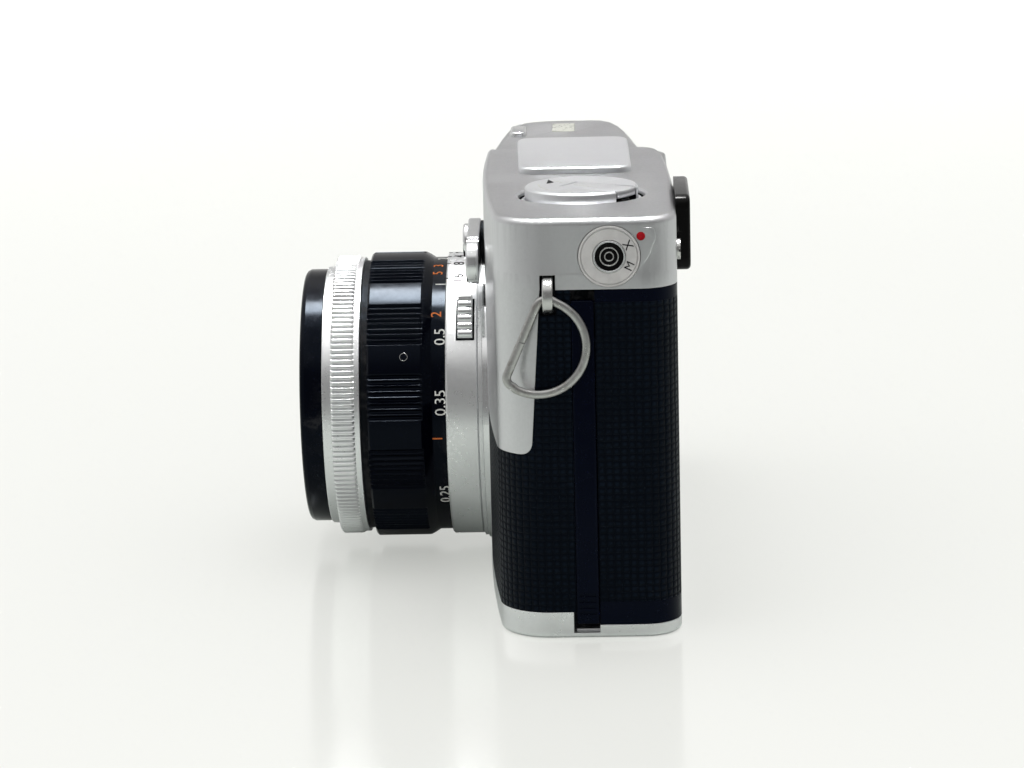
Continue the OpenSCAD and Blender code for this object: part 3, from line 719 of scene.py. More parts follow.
def along_outline(obj):
    """Stores each vertex's distance round the body's outline, which the grain follows."""
    ring = np.array(plan(0, 4))
    nxt = np.roll(ring, -1, 0)
    length = np.linalg.norm(nxt - ring, axis=1)
    total = np.concatenate([[0], np.cumsum(length)])[:-1]
    co = np.zeros(len(obj.data.vertices) * 3)
    obj.data.vertices.foreach_get("co", co)
    xy = co.reshape(-1, 3)[:, :2] / MM
    # distances are measured from the left end of the front's bow, where the outline starts
    edge = nxt - ring
    values = []
    for p in xy:
        t = np.clip(((p - ring) * edge).sum(1) / (length ** 2 + 1e-12), 0, 1)
        near = ring + edge * t[:, None]
        k = np.argmin(((p - near) ** 2).sum(1))
        values.append(total[k] + t[k] * length[k])
    layer = obj.data.attributes.new("along", "FLOAT", "POINT")
    layer.data.foreach_set("value", np.array(values, np.float32))


def panel(name, z0, z1, keep, cuts, body):
    """A leatherette panel: the skin between two heights, inside keep and less the cuts."""
    obj = skin_shell(name, z0, z1)
    combine(obj, [keep], "INTERSECT")
    combine(obj, cuts)
    along_outline(obj)
    return finish(obj, body, LEATHER, angle=30)


def door_side():
    """The part of the body that opens with the door."""
    return combine(block((0, DOOR_EDGE, 0), (80, 30, 60)), [block((-80, 0.15, 0), (0.01, 30, 60))], "UNION")


def slot_block(sign):
    """The strap slot through the end on the side of sign."""
    x0, x1 = sorted((62 * sign, 80 * sign))
    return block((x0, SLOT_Y[0], SLOT_Z[0]), (x1, SLOT_Y[1], SLOT_Z[1]))


def leather_panels():
    keep = block((APRON_X + 0.05, -30, 0), (80, FRONT_EDGE, 60))
    panel("front_leather", BASE_RIM + 0.02, BAND_TOP - 0.05, keep,
          [cutter(tongue(0.05), APRON_X - 1, 80, to_yz), slot_block(1)], "body")
    grip = block((-80, -30, 0), (-APRON_X - 0.05, HINGE[1] - 1.5, 60))
    panel("grip_leather", BASE_RIM + 0.02, BAND_TOP - 0.05, grip,
          [slot_block(-1), rod(DIAL[0], DIAL[2], 10, 30, 12.15), rod(CATCH[0], CATCH[2], 10, 30, 3.25)], "body")
    panel("door_leather", LIP_BOTTOM, LIP_TOP, door_side(),
          [block((-80, -3, 0), (-62, HINGE[1] + 2.25, 60))], "door")


def back_door():
    inner = SKIN + 1.25
    shell = skin_shell("back_door", DOOR_LO[2], DOOR_HI[2], inner)
    trench = combine(cutter(plan(-1), LIP_BOTTOM - 0.03, LIP_TOP + 0.03),
                     [cutter(plan(SKIN), 0, 60)])
    combine(shell, [door_side()], "INTERSECT")
    combine(shell, [trench])
    knuckle = combine(post(HINGE[0], HINGE[1], 18, 42, 1.15, 48),
                      [block((-HALF_W, HINGE[1], 18), (-HALF_W + inner, HINGE[1] + 2.2, 42))], "UNION")
    combine(shell, [knuckle], "UNION")
    combine(shell, [post(HINGE[0], HINGE[1], 0, 60, 0.6, 48)])
    return finish(shell, "door", DOOR_BLACK, angle=28)


def door_latch():
    lo, hi = box("door_latch")
    bar = prism("door_latch", rounded_box(lo, hi, 0.35, 4), lo[2], hi[2], top=0.25, bottom=0.25)
    grooves = [block((hi[0] - 0.25, lo[1] + 0.5, z), (hi[0] + 1, hi[1] - 0.5, z + 0.5))
               for z in np.arange(4, 7.2, 1)]
    combine(bar, grooves)
    return finish(bar, "latch", DOOR_BLACK)


top_cover()
top_pad()
base_plate()
leather_panels()
back_door()
door_latch()


# ---------------------------------------------------------------- lettering
def glyphs(text, height):
    """Closed flat mesh of a word in the built-in font, centred, as (points, faces); thickness runs along z."""
    curve = bpy.data.curves.new("word", "FONT")
    curve.body, curve.size = text, height / 0.73
    curve.align_x, curve.align_y = "CENTER", "CENTER"
    curve.extrude, curve.resolution_u = 0.03, 4
    obj = new_object("word", curve)
    mesh = bpy.data.meshes.new_from_object(obj.evaluated_get(bpy.context.evaluated_depsgraph_get()))
    points = [tuple(v.co) for v in mesh.vertices]
    faces = [tuple(f.vertices) for f in mesh.polygons]
    bpy.data.objects.remove(obj)
    bpy.data.curves.remove(curve)
    bpy.data.meshes.remove(mesh)
    return points, faces


def marks(name, items, body, material):
    """Inlaid marks: items are (points, faces, place) and place(x, y, h) gives a point on the surface."""
    verts, faces = [], []
    for points, polygons, place in items:
        first = len(verts)
        verts += [place(*p) for p in points]
        faces += [tuple(first + i for i in f) for f in polygons]
    return finish(raw_object(name, verts, faces), body, material)


def tile(width, height):
    """A thin rectangular mark."""
    x, y, t = width / 2, height / 2, 0.03
    points = [(a * x, b * y, c * t) for c in (-1, 1) for b in (-1, 1) for a in (-1, 1)]
    faces = [(0, 2, 3, 1), (4, 5, 7, 6), (0, 1, 5, 4), (2, 6, 7, 3), (0, 4, 6, 2), (1, 3, 7, 5)]
    return points, faces


def wrap(theta, forward, radius, lift=0.02):
    """Wraps a mark on a lens ring: it reads round the ring with its top towards the front."""
    def place(x, y, h):
        t = math.radians(theta) + x / radius
        r = radius + lift + h
        return r * math.cos(t), -(forward + y), LENS_Z + r * math.sin(t)
    return place


def radial(centre_2d, angle, radius, level, axes, inward=True):
    """Lays a mark on a flat face at an angle round a centre, with its top towards or away from it."""
    c, s = spoke(angle)
    sign = -1 if inward else 1
    up, right = (sign * c, sign * s), (sign * s, -sign * c)
    base = (centre_2d[0] + radius * c, centre_2d[1] + radius * s)

    def place(x, y, h):
        a = base[0] + x * right[0] + y * up[0]
        b = base[1] + x * right[1] + y * up[1]
        return axes(a, b, level + h)
    return place


# ---------------------------------------------------------------- controls
def eyepiece():
    lo, hi = EYE_LO - (0, 0, 0.5), EYE_HI + (0, 0, 0.6)
    surround = prism("eyepiece_frame", rounded_box(lo, hi, 2.2, 8, up=2), -hi[1], -lo[1], to_xz,
                     bottom=0.7, steps=5)
    glass_lo, glass_hi = EYE_GLASS_LO - 0.1, EYE_GLASS_HI + 0.1
    cuts = [cutter(rounded_box(glass_lo, glass_hi, 0.9, up=2), -30, -10, to_xz)]
    for wide, depth in ((1.4, 1.1), (0.7, 1.5)):
        grow = np.array((wide, 0, wide / 2))
        outline = rounded_box(glass_lo - grow, glass_hi + grow, 1.2, up=2)
        cuts.append(cutter(outline, -30, -hi[1] + depth, to_xz))
    combine(surround, cuts)
    finish(surround, "body", BLACK_PLASTIC, angle=28)
    lo, hi = EYE_GLASS_LO, EYE_GLASS_HI
    glass = prism("eyepiece_lens", rounded_box(lo, hi, 0.8, up=2), -hi[1], -lo[1], to_xz, bottom=0.5)
    finish(glass, "body", GLASS)


def counter():
    lo, hi = WINDOW_LO, WINDOW_HI
    window = prism("counter_window", rounded_box(lo, hi, 0.5), lo[2], hi[2], top=0.15)
    finish(window, "body", CREAM)


def shutter_button():
    button = prism("shutter_button", rounded_box(BUTTON_LO, BUTTON_HI, 1.35, 8), LOW_DECK - 1.1, BUTTON_HI[2],
                   top=0.4, steps=5)
    finish(button, "release", CHROME)


def arm_outline(p, r0, q, r1, n=16):
    a = math.degrees(math.atan2(q[1] - p[1], q[0] - p[0]))
    return arc(*q, r1, a - 90, a + 90, n) + arc(*p, r0, a + 90, a + 270, n)


def advance_lever():
    lo, hi = box("advance_lever")
    hub, tip = (centre("counter_disc")[0], centre("counter_disc")[1]), (-30.5, 12.0)
    lever = prism("advance_lever", arm_outline(hub, 4.6, tip, 2.2), lo[2], hi[2], top=0.45, bottom=0.3)
    combine(lever, [post(*hub, 50, 80, 1.25)])
    finish(lever, "advance", CHROME)
    lo, hi = box("lever_tip")
    outline = arm_outline((tip[0] - 4.6, tip[1] - 2.6), 2.1, tip, 2.1)
    cap = prism("lever_tip", outline, lo[2], hi[2], top=0.5)
    ridges = [post(tip[0] - 4.6 * k / 6 + 1.1, tip[1] - 2.6 * k / 6 + 1.9, hi[2] - 0.8, hi[2] + 1, 0.22, 16)
              for k in range(7)]
    combine(cap, ridges)
    finish(cap, "advance", BLACK_PLASTIC)


CRANK_A = 56.7                   # direction of the folded crank arm, in degrees
CRANK_PIVOT = -2.2
HANDLE_AT = 7.2


def at_crank(x, y):
    """A point given along and across the crank arm."""
    c, s = spoke(CRANK_A)
    return KNOB[0] + x * c - y * s, KNOB[1] + x * s + y * c


def crank_cut(x0, y0, z0, x1, y1, z1):
    return cutter([at_crank(*p) for p in ((x0, y0), (x1, y0), (x1, y1), (x0, y1))], z0, z1)


def rewind():
    top = KNOB_HI[2]
    profile = [(2.3, 65.6), (8, 65.6), (8, 67.4), (10.1, 67.4), (10.1, 68.6), (9.4, 68.75), (9.4, top - 0.35),
               (9.05, top), (2.3, top - 0.08)]
    knob = revolve("rewind_knob", profile, about_z(*KNOB[:2]), 160, round_r=0.12)
    core = post(*KNOB[:2], 65.6, top - 0.08, 2.5, 48)
    combine(knob, [core], "UNION")
    combine(knob, [crank_cut(CRANK_PIVOT - 0.75, -2.7, 69.6, 20, 2.7, 80), crank_cut(4.7, -3, 66.4, 20, 3, 80)])
    finish(knob, "rewind", DECK_SATIN, angle=25)
    profile = [(8.4, 65.22), (10.5, 65.22), (10.5, DECK - 0.8), (10.44, DECK - 0.8), (10.44, 65.3), (8.4, 65.3)]
    well = revolve("well_floor", profile, about_z(*KNOB[:2]), 120)
    finish(well, "body", MATT_BLACK)
    # painted shade: a black lining in the knob's slot under the crank arm, where the opening lies in shadow
    painted_slot_shade = crank_cut(4.6, -3.02, 66.35, 8.9, 3.02, 69.55)
    combine(painted_slot_shade, [crank_cut(4.72, -2.94, 66.5, 20, 2.94, 80)])
    finish(painted_slot_shade, "rewind", MATT_BLACK)
    lo, hi = box("crank_arm")
    arm = prism("crank_arm", [at_crank(*p) for p in
                              [(CRANK_PIVOT, -2.6)] + arc(0, 0, 9.3, -16.2, 16.2, 14) + [(CRANK_PIVOT, 2.6)]],
                hi[2] - 1.3, hi[2], top=0.14, bottom=0.1, steps=2)
    pin_z = hi[2] - 0.65
    pin = loft("c", [[(*at_crank(CRANK_PIVOT + 0.62 * math.cos(a), y), pin_z + 0.62 * math.sin(a))
                      for a in np.linspace(0, 2 * math.pi, 24, endpoint=False)] for y in (-2.6, 2.6)])
    hx, hy = at_crank(HANDLE_AT, 0)
    combine(arm, [pin, post(hx, hy, lo[2], hi[2] - 1, 0.8, 32)], "UNION")
    finish(arm, "crank", DECK_SATIN, angle=25)
    lo, hi = box("crank_button")
    profile = [(0.86, lo[2]), (1.9, lo[2]), (2, lo[2] + 0.3), (2, hi[2] - 0.3), (1.8, hi[2]), (0.86, hi[2])]
    button = revolve("crank_button", profile, about_z(hx, hy), 64, round_r=0.1)
    finish(button, "crank_handle", BLACK_PLASTIC)


def stroke(path, width, h0=-0.03, h1=0.02):
    """A line of even width along a path, as a thin slab."""
    pts = np.array(path)
    way = np.gradient(pts, axis=0)
    way /= np.linalg.norm(way, axis=1)[:, None]
    side = np.stack([-way[:, 1], way[:, 0]], 1) * width / 2
    verts, faces = [], []
    for p, q in zip(pts - side, pts + side):
        verts += [(*q, h0), (*q, h1), (*p, h1), (*p, h0)]
    for k in range(0, len(verts) - 4, 4):
        faces += [(k + i, k + (i + 1) % 4, k + 4 + (i + 1) % 4, k + 4 + i) for i in range(4)]
    return verts, faces + [(3, 2, 1, 0), tuple(len(verts) - 4 + i for i in range(4))]


def rewind_arrow():
    """The engraved arrow on the rewind disc: a black head and a fine curved line behind it; white strokes paint
    the glint of that line and of a line near the disc's rim.
    """
    level = KNOB_HI[2] - 0.01
    tip, left, right = (-5.9, -5.55), (-1.9, -5.75), (-3.1, -4.6)
    head = ([(x, y, h) for h in (-0.03, 0.03) for x, y in (tip, left, right)],
            [(0, 1, 2), (5, 4, 3), (0, 3, 4, 1), (1, 4, 5, 2), (2, 5, 3, 0)])
    arm_level = box("crank_arm")[1][2] - 0.01
    on_disc = lambda x, y, h: (KNOB[0] + x, KNOB[1] + y, level + h)
    on_arm = lambda x, y, h: (KNOB[0] + x, KNOB[1] + y, arm_level + h)
    marks("arrow_head", [(*head, on_disc)], "rewind", BLACK_INK)
    # the engraved line is real; its white colour is a painted highlight, on the disc and across the arm
    shaft = stroke([(-5.0, -4.8), (-3.8, -4.0), (-2.7, -3.2)], 0.22)
    across = stroke([(-0.5, -1.2), (0.6, 0.2), (1.7, 1.4), (2.9, 2.7)], 0.22)
    # painted highlight along the disc's rim
    rim_highlight = stroke([(-1.4, -7.2), (1.4, -6.8), (4.0, -5.7), (6.0, -3.8), (7.2, -1.2)], 0.2)
    marks("crank_line", [(*across, on_arm)], "crank", WHITE_INK)
    marks("arrow_line", [(*shaft, on_disc), (*rim_highlight, on_disc)], "rewind", WHITE_INK)


def sync_socket():
    y, z = SYNC[1], SYNC[2]
    back, face = SYNC_LO[0], SYNC_HI[0]
    place = about_x(y, z)
    profile = [(2.66, back), (4.95, back), (4.95, face - 0.05), (4.85, face), (4.62, face),
               (4.55, face - 0.2), (4.42, face - 0.02), (2.72, face - 0.02), (2.66, face - 0.1)]
    ring = revolve("sync_socket", profile, place, 144)
    finish(ring, "sync", WHITE_ENAMEL, angle=25)
    lo, hi = box("sync_core")
    collar = revolve("sync_collar", [(2.3, hi[0] - 1.1), (2.6, hi[0] - 1.1), (2.6, hi[0] - 0.06), (2.54, hi[0]),
                                     (2.36, hi[0]), (2.3, hi[0] - 0.06)], place, 96)
    finish(collar, "body", CHROME)
    core = revolve("sync_core", [(0, lo[0]), (2.3, lo[0]), (2.3, hi[0] - 0.25), (1.62, hi[0] - 0.3),
                                 (1.6, hi[0] - 0.9), (0, hi[0] - 0.9)], place, 96)
    finish(core, "body", BLACK_PLASTIC, angle=25)
    for name, r0, r1, x1 in (("sync_sleeve", 1.36, 1.56, hi[0] - 0.1), ("sync_pin", 0.6, 0.8, hi[0] - 0.2)):
        tube = revolve(name, [(r0, x1 - 0.9), (r1, x1 - 0.9), (r1, x1 - 0.05), (r1 - 0.05, x1), (r0 + 0.05, x1),
                              (r0, x1 - 0.05)], place, 64)
        finish(tube, "body", BRIGHT_STEEL)
    profile = [(0, hi[0] - 0.95), (1.36, hi[0] - 0.95), (1.36, hi[0] - 0.35), (0.8, hi[0] - 0.35),
               (0.8, hi[0] - 0.6), (0, hi[0] - 0.6)]
    plug = revolve("sync_insulator", profile, place, 64)
    finish(plug, "body", BLACK_PLASTIC)
    side = lambda a, b, h: (h, a, b)
    marks("sync_letters", [(*glyphs("M", 1.4), radial((y, z), -26, 3.62, face - 0.01, side)),
                           (*glyphs("X", 1.5), radial((y, z), 31, 3.62, face - 0.01, side))],
          "sync", BLACK_INK)
    dot_lo, dot_hi = box("index_dot")
    dot = revolve("index_dot", [(0, dot_lo[0]), (0.68, dot_lo[0]), (0.68, dot_hi[0] - 0.05), (0.6, dot_hi[0]),
                                (0, dot_hi[0] + 0.02)], about_x(DOT[1], DOT[2]), 48)
    finish(dot, "body", RED)


def strap_lugs():
    x, z = HALF_W - 0.6, 57.1
    loops = []
    for sign in (1, -1):
        outline = [(x - 1.5, z - 3)] + arc(x, z, 3, -90, 90, 20) + [(x - 1.5, z + 3), (x - 1.5, z + 2.4)]
        outline += arc(x, z, 2.4, 90, -90, 20) + [(x - 1.5, z - 2.4)]
        outline = [(sign * a, b) for a, b in outline][::sign]
        loops.append(cutter(outline, 4.9, 6.6, to_xz, top=0.25, bottom=0.25))
    finish(join("strap_lugs", loops), "body", BRIGHT_STEEL, angle=35)


def wire_loop(name, path, x, r, n=16):
    """A round wire along a closed path in the YZ plane, at x."""
    pts = np.array(path, float)
    nxt, prv = np.roll(pts, -1, 0), np.roll(pts, 1, 0)
    rings = []
    for p, t in zip(pts, nxt - prv):
        t = t / np.linalg.norm(t)
        side = np.array([t[1], -t[0]]) * 1.3
        rings.append([(x + r * math.cos(a), p[0] + side[0] * r * math.sin(a), p[1] + side[1] * r * math.sin(a))
                      for a in np.linspace(0, 2 * math.pi, n, endpoint=False)])
    return loft(name, rings, closed=True)


RING_X = HALF_W + 0.75
RING_TOP = 56.6
RING_LEAN = math.radians(18)
RING_TILT = math.radians(16)
LUG_Y = -5.75


def strap_rings():
    path = arc(-5.85, 54.6, 2, 150, 62, 8) + arc(-7.5, 48.9, 7.8, 66, -118, 44)
    path += arc(-11.1, 43.9, 1.5, -110, -210, 8) + [(-11.2 + k * 0.72, 47.35 + k * 1.64) for k in range(5)]
    for name, sign in (("left", 1), ("right", -1)):
        ring = wire_loop(name + "_strap_ring", path, RING_X, 0.55)
        gap = cutter([(-10.5, 49.75), (-8.2, 49.3), (-8.2, 49.46), (-10.5, 49.91)], 60, 70, to_yz)
        combine(ring, [gap])
        if sign < 0:
            pivot = Vector((RING_X, LUG_Y, RING_TOP)) * MM
            turn = Matrix.Rotation(-RING_LEAN, 4, "Y") @ Matrix.Rotation(-RING_TILT, 4, "X")
            lift = Matrix.Translation(pivot + Vector((0, 0, 0.4 * MM)))
            ring.data.transform(Matrix.Scale(-1, 4, (1, 0, 0)) @ lift @ turn @ Matrix.Translation(-pivot))
            ring.data.flip_normals()
        finish(ring, name + "_ring", STEEL, angle=50)


def self_timer():
    lo, hi = box("self_timer_lever")
    hub, tip = (CAP[0], CAP[2] - 0.3), (27.0, 56.0)
    outline = arm_outline(hub, 4.3, tip, 3.7, 24)
    lever = prism("self_timer_lever", outline, 18.05, 20.2, to_xz, top=0.35, bottom=0.3)
    scallops = [rod(tip[0] + 0.3 * k, tip[1] + side * (3.9 + 0.02 * k), 10, 30, 0.35, 20)
                for side in (-1, 1) for k in range(-6, 7, 3)]
    combine(lever, scallops)
    shaft = rod(*hub, 11, 18.2, 1.45, 48)
    combine(lever, [shaft], "UNION")
    finish(lever, "timer", CHROME)
    washer = turned_at("timer_washer", hub, [(1.5, 17.2), (3.9, 17.2), (3.9, 18.0), (1.5, 18.0)])
    finish(washer, "timer", MATT_BLACK)
    profile = [(0, 20.25), (3.1, 20.25), (3.1, 20.8), (2.9, 21.1), (2.2, 21.2), (0, 21.2)]
    cap = turned_at("timer_cap", (CAP[0], CAP[2]), profile, 0.12)
    combine(cap, [block((CAP[0] - 5, -21.5, CAP[2] - 0.25), (CAP[0] + 5, -20.95, CAP[2] + 0.25))])
    finish(cap, "timer", CHROME, angle=25)


def turned_at(name, at, profile, round_r=0.0, segments=96, **options):
    """A piece turned about an axis along Y through (x, z)."""
    return revolve(name, profile, about_y(*at), segments, round_r=round_r, **options)


def speed_dial():
    at = (DIAL[0], DIAL[2])
    knurl = lambda t, r, h: r - (0.28 * (0.5 + 0.5 * math.cos(72 * t)) if r > 11.8 else 0)
    profile = [(0, 15.1), (11.7, 15.1), (12, 15.4), (12, 18.1), (11.6, 18.6), (9.75, 18.6), (9.6, 18.75),
               (9.6, 19.5), (9.3, 19.8), (3.2, 19.8), (3, 19.6), (0, 19.6)]
    dial = revolve("speed_dial", profile, about_y(*at), 432, wobble=knurl)
    shaft = rod(*at, 9, 15.3, 2, 48)
    combine(dial, [shaft], "UNION")
    finish(dial, "dial", RING_SATIN, angle=25)
    front = lambda a, b, h: (a, -h, b)
    speeds = ["1", "2", "4", "8", "15", "30", "60", "125", "250", "500", "B"]
    items = [(*glyphs(word, 1.25), radial(at, 90 - 30 * i, 10.65, 18.62, front, inward=False))
             for i, word in enumerate(speeds)]
    marks("dial_numbers", items, "dial", BLACK_INK)


def lens_catch():
    at = (CATCH[0], CATCH[2])
    button = turned_at("lens_catch", at, [(0, 14), (3.2, 14), (3.2, 18.9), (2.9, 19.3), (0, 19.4)], 0.15)
    finish(button, "catch", CHROME)


# ---------------------------------------------------------------- lens
GROUP = 360 / 12                 # the focus ring's flats and grooved groups repeat
FLAT_AT = 56.0                   # middle of one flat, in degrees from +X towards +Z
FLAT_HALF = 5.8
GROOVES = 8


def focus_grip(t, r, f):
    """Radius on the focus ring's grip: flat lands between groups of fine grooves."""
    if r < 25.3 or f < 28.8:
        return r
    a = (math.degrees(t) - FLAT_AT + GROUP / 2) % GROUP - GROUP / 2
    if abs(a) < FLAT_HALF:
        return r
    span = GROUP - 2 * FLAT_HALF
    phase = (abs(a) - FLAT_HALF) / span * 2
    k = ((a % GROUP) - FLAT_HALF) / span * GROOVES
    groove = 0.5 - 0.5 * math.cos(2 * math.pi * k)
    return r - 0.1 - 0.42 * groove ** 0.7 * min(1, phase * 12)


def focus_ring():
    lo, hi = -FOCUS_HI[1], -FOCUS_LO[1]
    profile = [(21.05, lo), (24.4, lo), (24.4, 27.0), (25.0, 27.9), (25.35, 28.6), (25.5, 28.9), (25.5, 29.5),
               (25.5, hi - 1.0), (25.5, hi - 0.35), (25.15, hi), (24.05, hi), (24.05, 34.5), (21.05, 34.5)]
    ring = turned("focus_ring", profile, 12 * 140, wobble=focus_grip, start=FLAT_AT)
    finish(ring, "focus", GLOSS_BLACK, angle=24)
    verts, faces = [], []
    for t in np.linspace(0, 2 * math.pi, 28, endpoint=False):
        for r, h in ((0.62, -0.03), (0.62, 0.01), (0.7, 0.01), (0.7, -0.03)):
            verts.append((r * math.cos(t), r * math.sin(t), h))
    for k in range(28):
        a, b = 4 * k, 4 * ((k + 1) % 28)
        faces += [(a + i, a + (i + 1) % 4, b + (i + 1) % 4, b + i) for i in range(4)]
    marks("focus_index", [(verts, faces, wrap(26.8, 31.75, 25.5, 0.0))], "focus", STEEL)


def distance_scale():
    r = 24.4
    # metres in white, feet in orange
    white = [("0.25", -34.1, 1.85), ("0.35", 8.5, 1.95), ("0.5", 36, 1.95), ("1", 63.6, 1.95), ("2", 90, 1.95)]
    orange = [("1", -6.4, 1.8), ("2", 46.5, 1.9), ("5", 72.2, 1.8), ("3", 79.3, 1.8)]
    items = [(*glyphs(w, h), wrap(a, 25.25 if w == "0.25" else 25.45, r)) for w, a, h in white]
    marks("distance_white", items, "focus", WHITE_INK)
    items = [(*glyphs(w, h), wrap(a, 26.1, r)) for w, a, h in orange]
    marks("distance_orange", items, "focus", ORANGE_INK)


def aperture_ring():
    lo, hi = box("aperture_ring")
    back, front = -hi[1], -lo[1]
    profile = [(21.05, back), (24.9, back), (25.2, back + 0.25), (25.2, front - 0.3), (24.95, front),
               (21.05, front)]
    ring = turned("aperture_ring", profile, 192)
    finish(ring, "aperture", RING_SATIN, angle=25)
    numbers = [("16", 65.2), ("8", 77.2), ("4", 86), ("2", 95)]
    items = [(*glyphs(w, 1.95), wrap(a, 22.4, 25.2)) for w, a in numbers]
    items += [(*tile(0.2, 0.7), wrap(a, 24.25, 25.2)) for _, a in numbers]
    marks("aperture_numbers", items, "aperture", BLACK_INK)


def aperture_tab():
    """A ribbed thumb tab that stands on the aperture ring."""
    f0, f1, base, top = 19.8, 22.4, 25.1, 26.6
    angles = np.linspace(34, 52, 85)
    outer = []
    for a in angles:
        k = (a - 34) / 18 * 5.5
        rib = max(0.0, math.sin(math.pi * (k % 1))) ** 0.45
        outer.append(top - 0.75 * (1 - rib))
    rings = []
    for a, r in zip(angles, outer):
        c, s = spoke(a)
        spot = lambda q, f: (q * c, -f, LENS_Z + q * s)
        rings.append([spot(base, f0), spot(r - 0.2, f0), spot(r, f0 + 0.2),
                      spot(r, f1 - 0.2), spot(r - 0.2, f1), spot(base, f1)])
    finish(loft("aperture_tab", rings), "aperture", CHROME, "satin_aluminium", angle=25)
    # painted shadow: a black plate a little wider than the tab, for the dark line of shade round its base
    edge = []
    for a in np.linspace(33.5, 52.5, 40):
        c, s = spoke(a)
        edge.append([(q * c, -f, LENS_Z + q * s) for q, f in
                     ((25.1, f0 - 0.3), (25.32, f0 - 0.3), (25.32, f1 + 0.3), (25.1, f1 + 0.3))])
    finish(loft("tab_plate", edge), "aperture", MATT_BLACK)


def front_rings():
    knurl = lambda t, r, f: r - (0.42 * (0.5 + 0.5 * math.cos(160 * t)) ** 2.5 if r > 24.7 else 0)
    profile = [(22, 39.5), (24.5, 39.5), (24.6, 39.6), (24.6, 40.5), (24.8, 40.75), (24.9, 41), (24.9, 44.2),
               (24.6, 44.5), (23.1, 44.5), (23, 44.6), (23, 46.1), (22.9, 46.2), (22, 46.2)]
    grip = turned("grip_ring", profile, 1600, wobble=knurl)
    finish(grip, "front_group", RING_SATIN, angle=24)
    thread = []
    for k in range(7):
        thread += [(21.5, 49.6 - 0.38 * k), (21.75, 49.6 - 0.38 * k - 0.19)]
    profile = [(20.7, 46.2), (22.5, 46.2), (22.6, 46.3), (22.6, 49.3), (22.35, 49.85), (22.0, 50.1),
               (21.7, 50.1)] + thread + [(21.5, 46.9), (20.7, 46.9)]
    finish(turned("front_ring", profile), "front_group", GLOSS_BLACK, angle=24)
    steps = [(20.6 - 5.2 * k / 7, 46.2 - 2.8 * k / 7) for k in range(8)]
    cone = []
    for (ra, fa), (rb, fb) in zip(steps, steps[1:]):
        cone += [(ra, fa), (rb, fa - 0.05)]
    profile = [(15.4, 26), (16.95, 26), (16.95, 38.9), (22.6, 38.9), (22.6, 37), (24, 37), (24, 39.45),
               (22, 39.45), (22, 46.15)] + cone + [(15.4, 43.4)]
    finish(turned("front_barrel", profile), "front_group", MATT_BLACK, angle=24)
    dome = [(15.3 * (1 - k / 14), 41.6 + 2.6 * (1 - (1 - k / 14) ** 2)) for k in range(15)]
    glass = turned("front_glass", [(0, 38.4), (13.5, 38.1), (15.3, 38)] + dome, 128)
    finish(glass, "front_group", GLASS)


# ---------------------------------------------------------------- the CAD nodes that stay
KEPT = {
    MATT_BLACK: ["chassis", "mirror_box", "pressure_plate", "mirror_hinge", "iris"],
    STEEL: ["hinge_pin", "plate_springs", "tripod_socket", "sprocket", "rewind_shaft", "base_screws",
            "rotary_shutter", "shutter_shaft", "rewind_release", "mount_screws"],
    BRIGHT_STEEL: ["cover_screws", "film_rails"],
    CHROME: ["mount_ring"],
    RING_SATIN: ["lens_barrel"],
    BLACK_PLASTIC: ["take_up_spool"],
    FOAM: ["door_seal"],
    CREAM: ["counter_disc", "focusing_screen"],
    MIRROR: ["reflex_mirror"],
    GLASS: ["finder_prism", "rear_glass"],
}


def dress_kept_nodes():
    for material, names in KEPT.items():
        for name in names:
            obj = NODES[name]
            if not obj.material_slots:
                obj.data.materials.append(material)
            for place in obj.material_slots:
                place.link = "OBJECT"
                place.material = material


eyepiece()
counter()
shutter_button()
advance_lever()
rewind()
rewind_arrow()
sync_socket()
strap_lugs()
strap_rings()
self_timer()
speed_dial()
lens_catch()
focus_ring()
distance_scale()
aperture_ring()
aperture_tab()
front_rings()
dress_kept_nodes()


# ---------------------------------------------------------------- stage, lights and camera
FILL = 1.0              # soft light from all round
ROOM = (0.5, 0.22)      # what shiny parts reflect: the lit backdrop behind, the darker room in front
GLARE = 0.18            # the backdrop is brightest low down
LAMP_AT = (-0.16, 0.0, 0.99)
LAMP = 60.0             # ceiling lamp, seen only in shiny parts
CEILING = 0.7
FRONT_GLOW = 0.2        # what shiny parts reflect on the lens side


def stage():
    mesh = bpy.data.meshes.new("floor")
    verts = [(-6, -4, 0), (4, -4, 0), (4, 4, 0), (-6, 4, 0)]
    mesh.from_pydata(verts, [], [(0, 1, 2, 3)])
    floor = new_object("floor", mesh)
    p = Paint("white_acrylic")
    x = p.split(p.place)[0]
    # painted shadow: the floor that shiny parts reflect darkens from 80 to 360 mm out towards the camera
    glossy = p.mix(p.ramp(x, 80, 360), (0.66, 0.7, 0.66), (0.32, 0.34, 0.33))
    tone = p.mix(p.ray("Glossy"), (0.45, 0.45, 0.44), glossy)
    # painted light: the floor glows to the camera only, lifting its shadows, and more so towards the back
    painted_floor_light = p.mul(p.ramp(x, -1200, -100, 0.62, 0.43), p.ray("Camera"))
    sheen = p.ramp(p.noise(0.01, 3), 0.3, 0.7, 0.1, 0.16)
    mesh.materials.append(p.set(emission_color=(0.98, 1.0, 0.95), emission_strength=painted_floor_light, base_color=tone,
                                roughness=sheen, IOR=1.42))


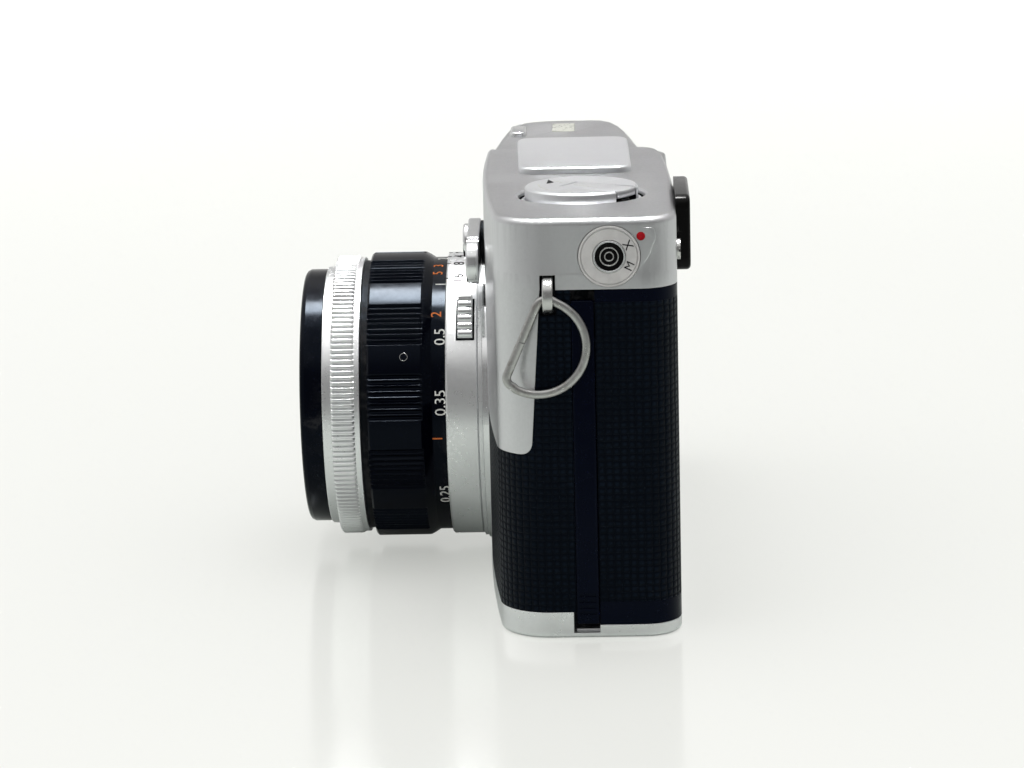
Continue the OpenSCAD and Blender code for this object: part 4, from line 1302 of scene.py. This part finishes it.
def soft_box():
    """A broad, weak lamp above the object."""
    data = bpy.data.lights.new("top_softbox", "AREA")
    data.shape, data.size, data.size_y, data.energy = "RECTANGLE", 0.6, 0.6, 1.6
    obj = new_object("top_softbox", data)
    obj.location = (-0.1, 0.0, 0.9)
    obj.rotation_euler = (Vector((0, 0, 0.03)) - obj.location).to_track_quat("-Z", "Y").to_euler()


def surroundings():
    """Even light from all round, with the room in its place for reflections."""
    world = bpy.data.worlds.new("studio")
    bpy.context.scene.world = world
    world.use_nodes = True
    sky, tree = world.node_tree.nodes["Background"], Tree(world.node_tree)
    way = tree.new("TexCoord").outputs["Generated"]
    x, y, z = tree.split(way)
    shown = tree.ramp(x, -0.3, 0.6, *ROOM)
    low = tree.mul(tree.ramp(z, 0.02, 0.24, 1, 0), tree.ramp(x, -0.9, -0.3, GLARE, 0))
    towards_lamp = tree.vector("DOT_PRODUCT", way, Vector(LAMP_AT).normalized(), output="Value")
    for extra in (low, tree.ramp(z, 0.5, 0.8, 0, CEILING), tree.ramp(y, -0.9, 0.1, FRONT_GLOW, 0),
                  tree.ramp(towards_lamp, math.cos(0.17), math.cos(0.12), 0, LAMP)):
        shown = tree.add(shown, extra)
    level = tree.add(tree.mul(tree.ray("Glossy"), tree.math("SUBTRACT", shown, FILL)), FILL)
    sky.inputs[0].default_value = (1.0, 0.995, 0.98, 1)
    tree.links.new(level, sky.inputs[1])


def camera():
    """Stands at the crank end, a little above the camera and looking down along it."""
    position = Vector((609.4, 5.95, 164.15)) * MM
    azimuth, elevation, roll = math.radians(-1.86), math.radians(12.53), math.radians(-1.41)
    forward = Vector((-math.cos(elevation) * math.cos(azimuth), math.cos(elevation) * math.sin(azimuth),
                      -math.sin(elevation)))
    right = forward.cross(Vector((0, 0, 1))).normalized()
    up = right.cross(forward)
    x_axis = right * math.cos(roll) + up * math.sin(roll)
    y_axis = -right * math.sin(roll) + up * math.cos(roll)
    data = bpy.data.cameras.new("camera")
    data.lens, data.sensor_width = 122.3, 36
    data.clip_start, data.clip_end = 0.01, 20
    obj = new_object("camera", data)
    turn = Matrix((x_axis, y_axis, -forward)).transposed().to_4x4()
    obj.matrix_world = Matrix.Translation(position) @ turn
    bpy.context.scene.camera = obj


stage()
surroundings()
soft_box()
camera()
bpy.context.scene.view_settings.view_transform = "Standard"
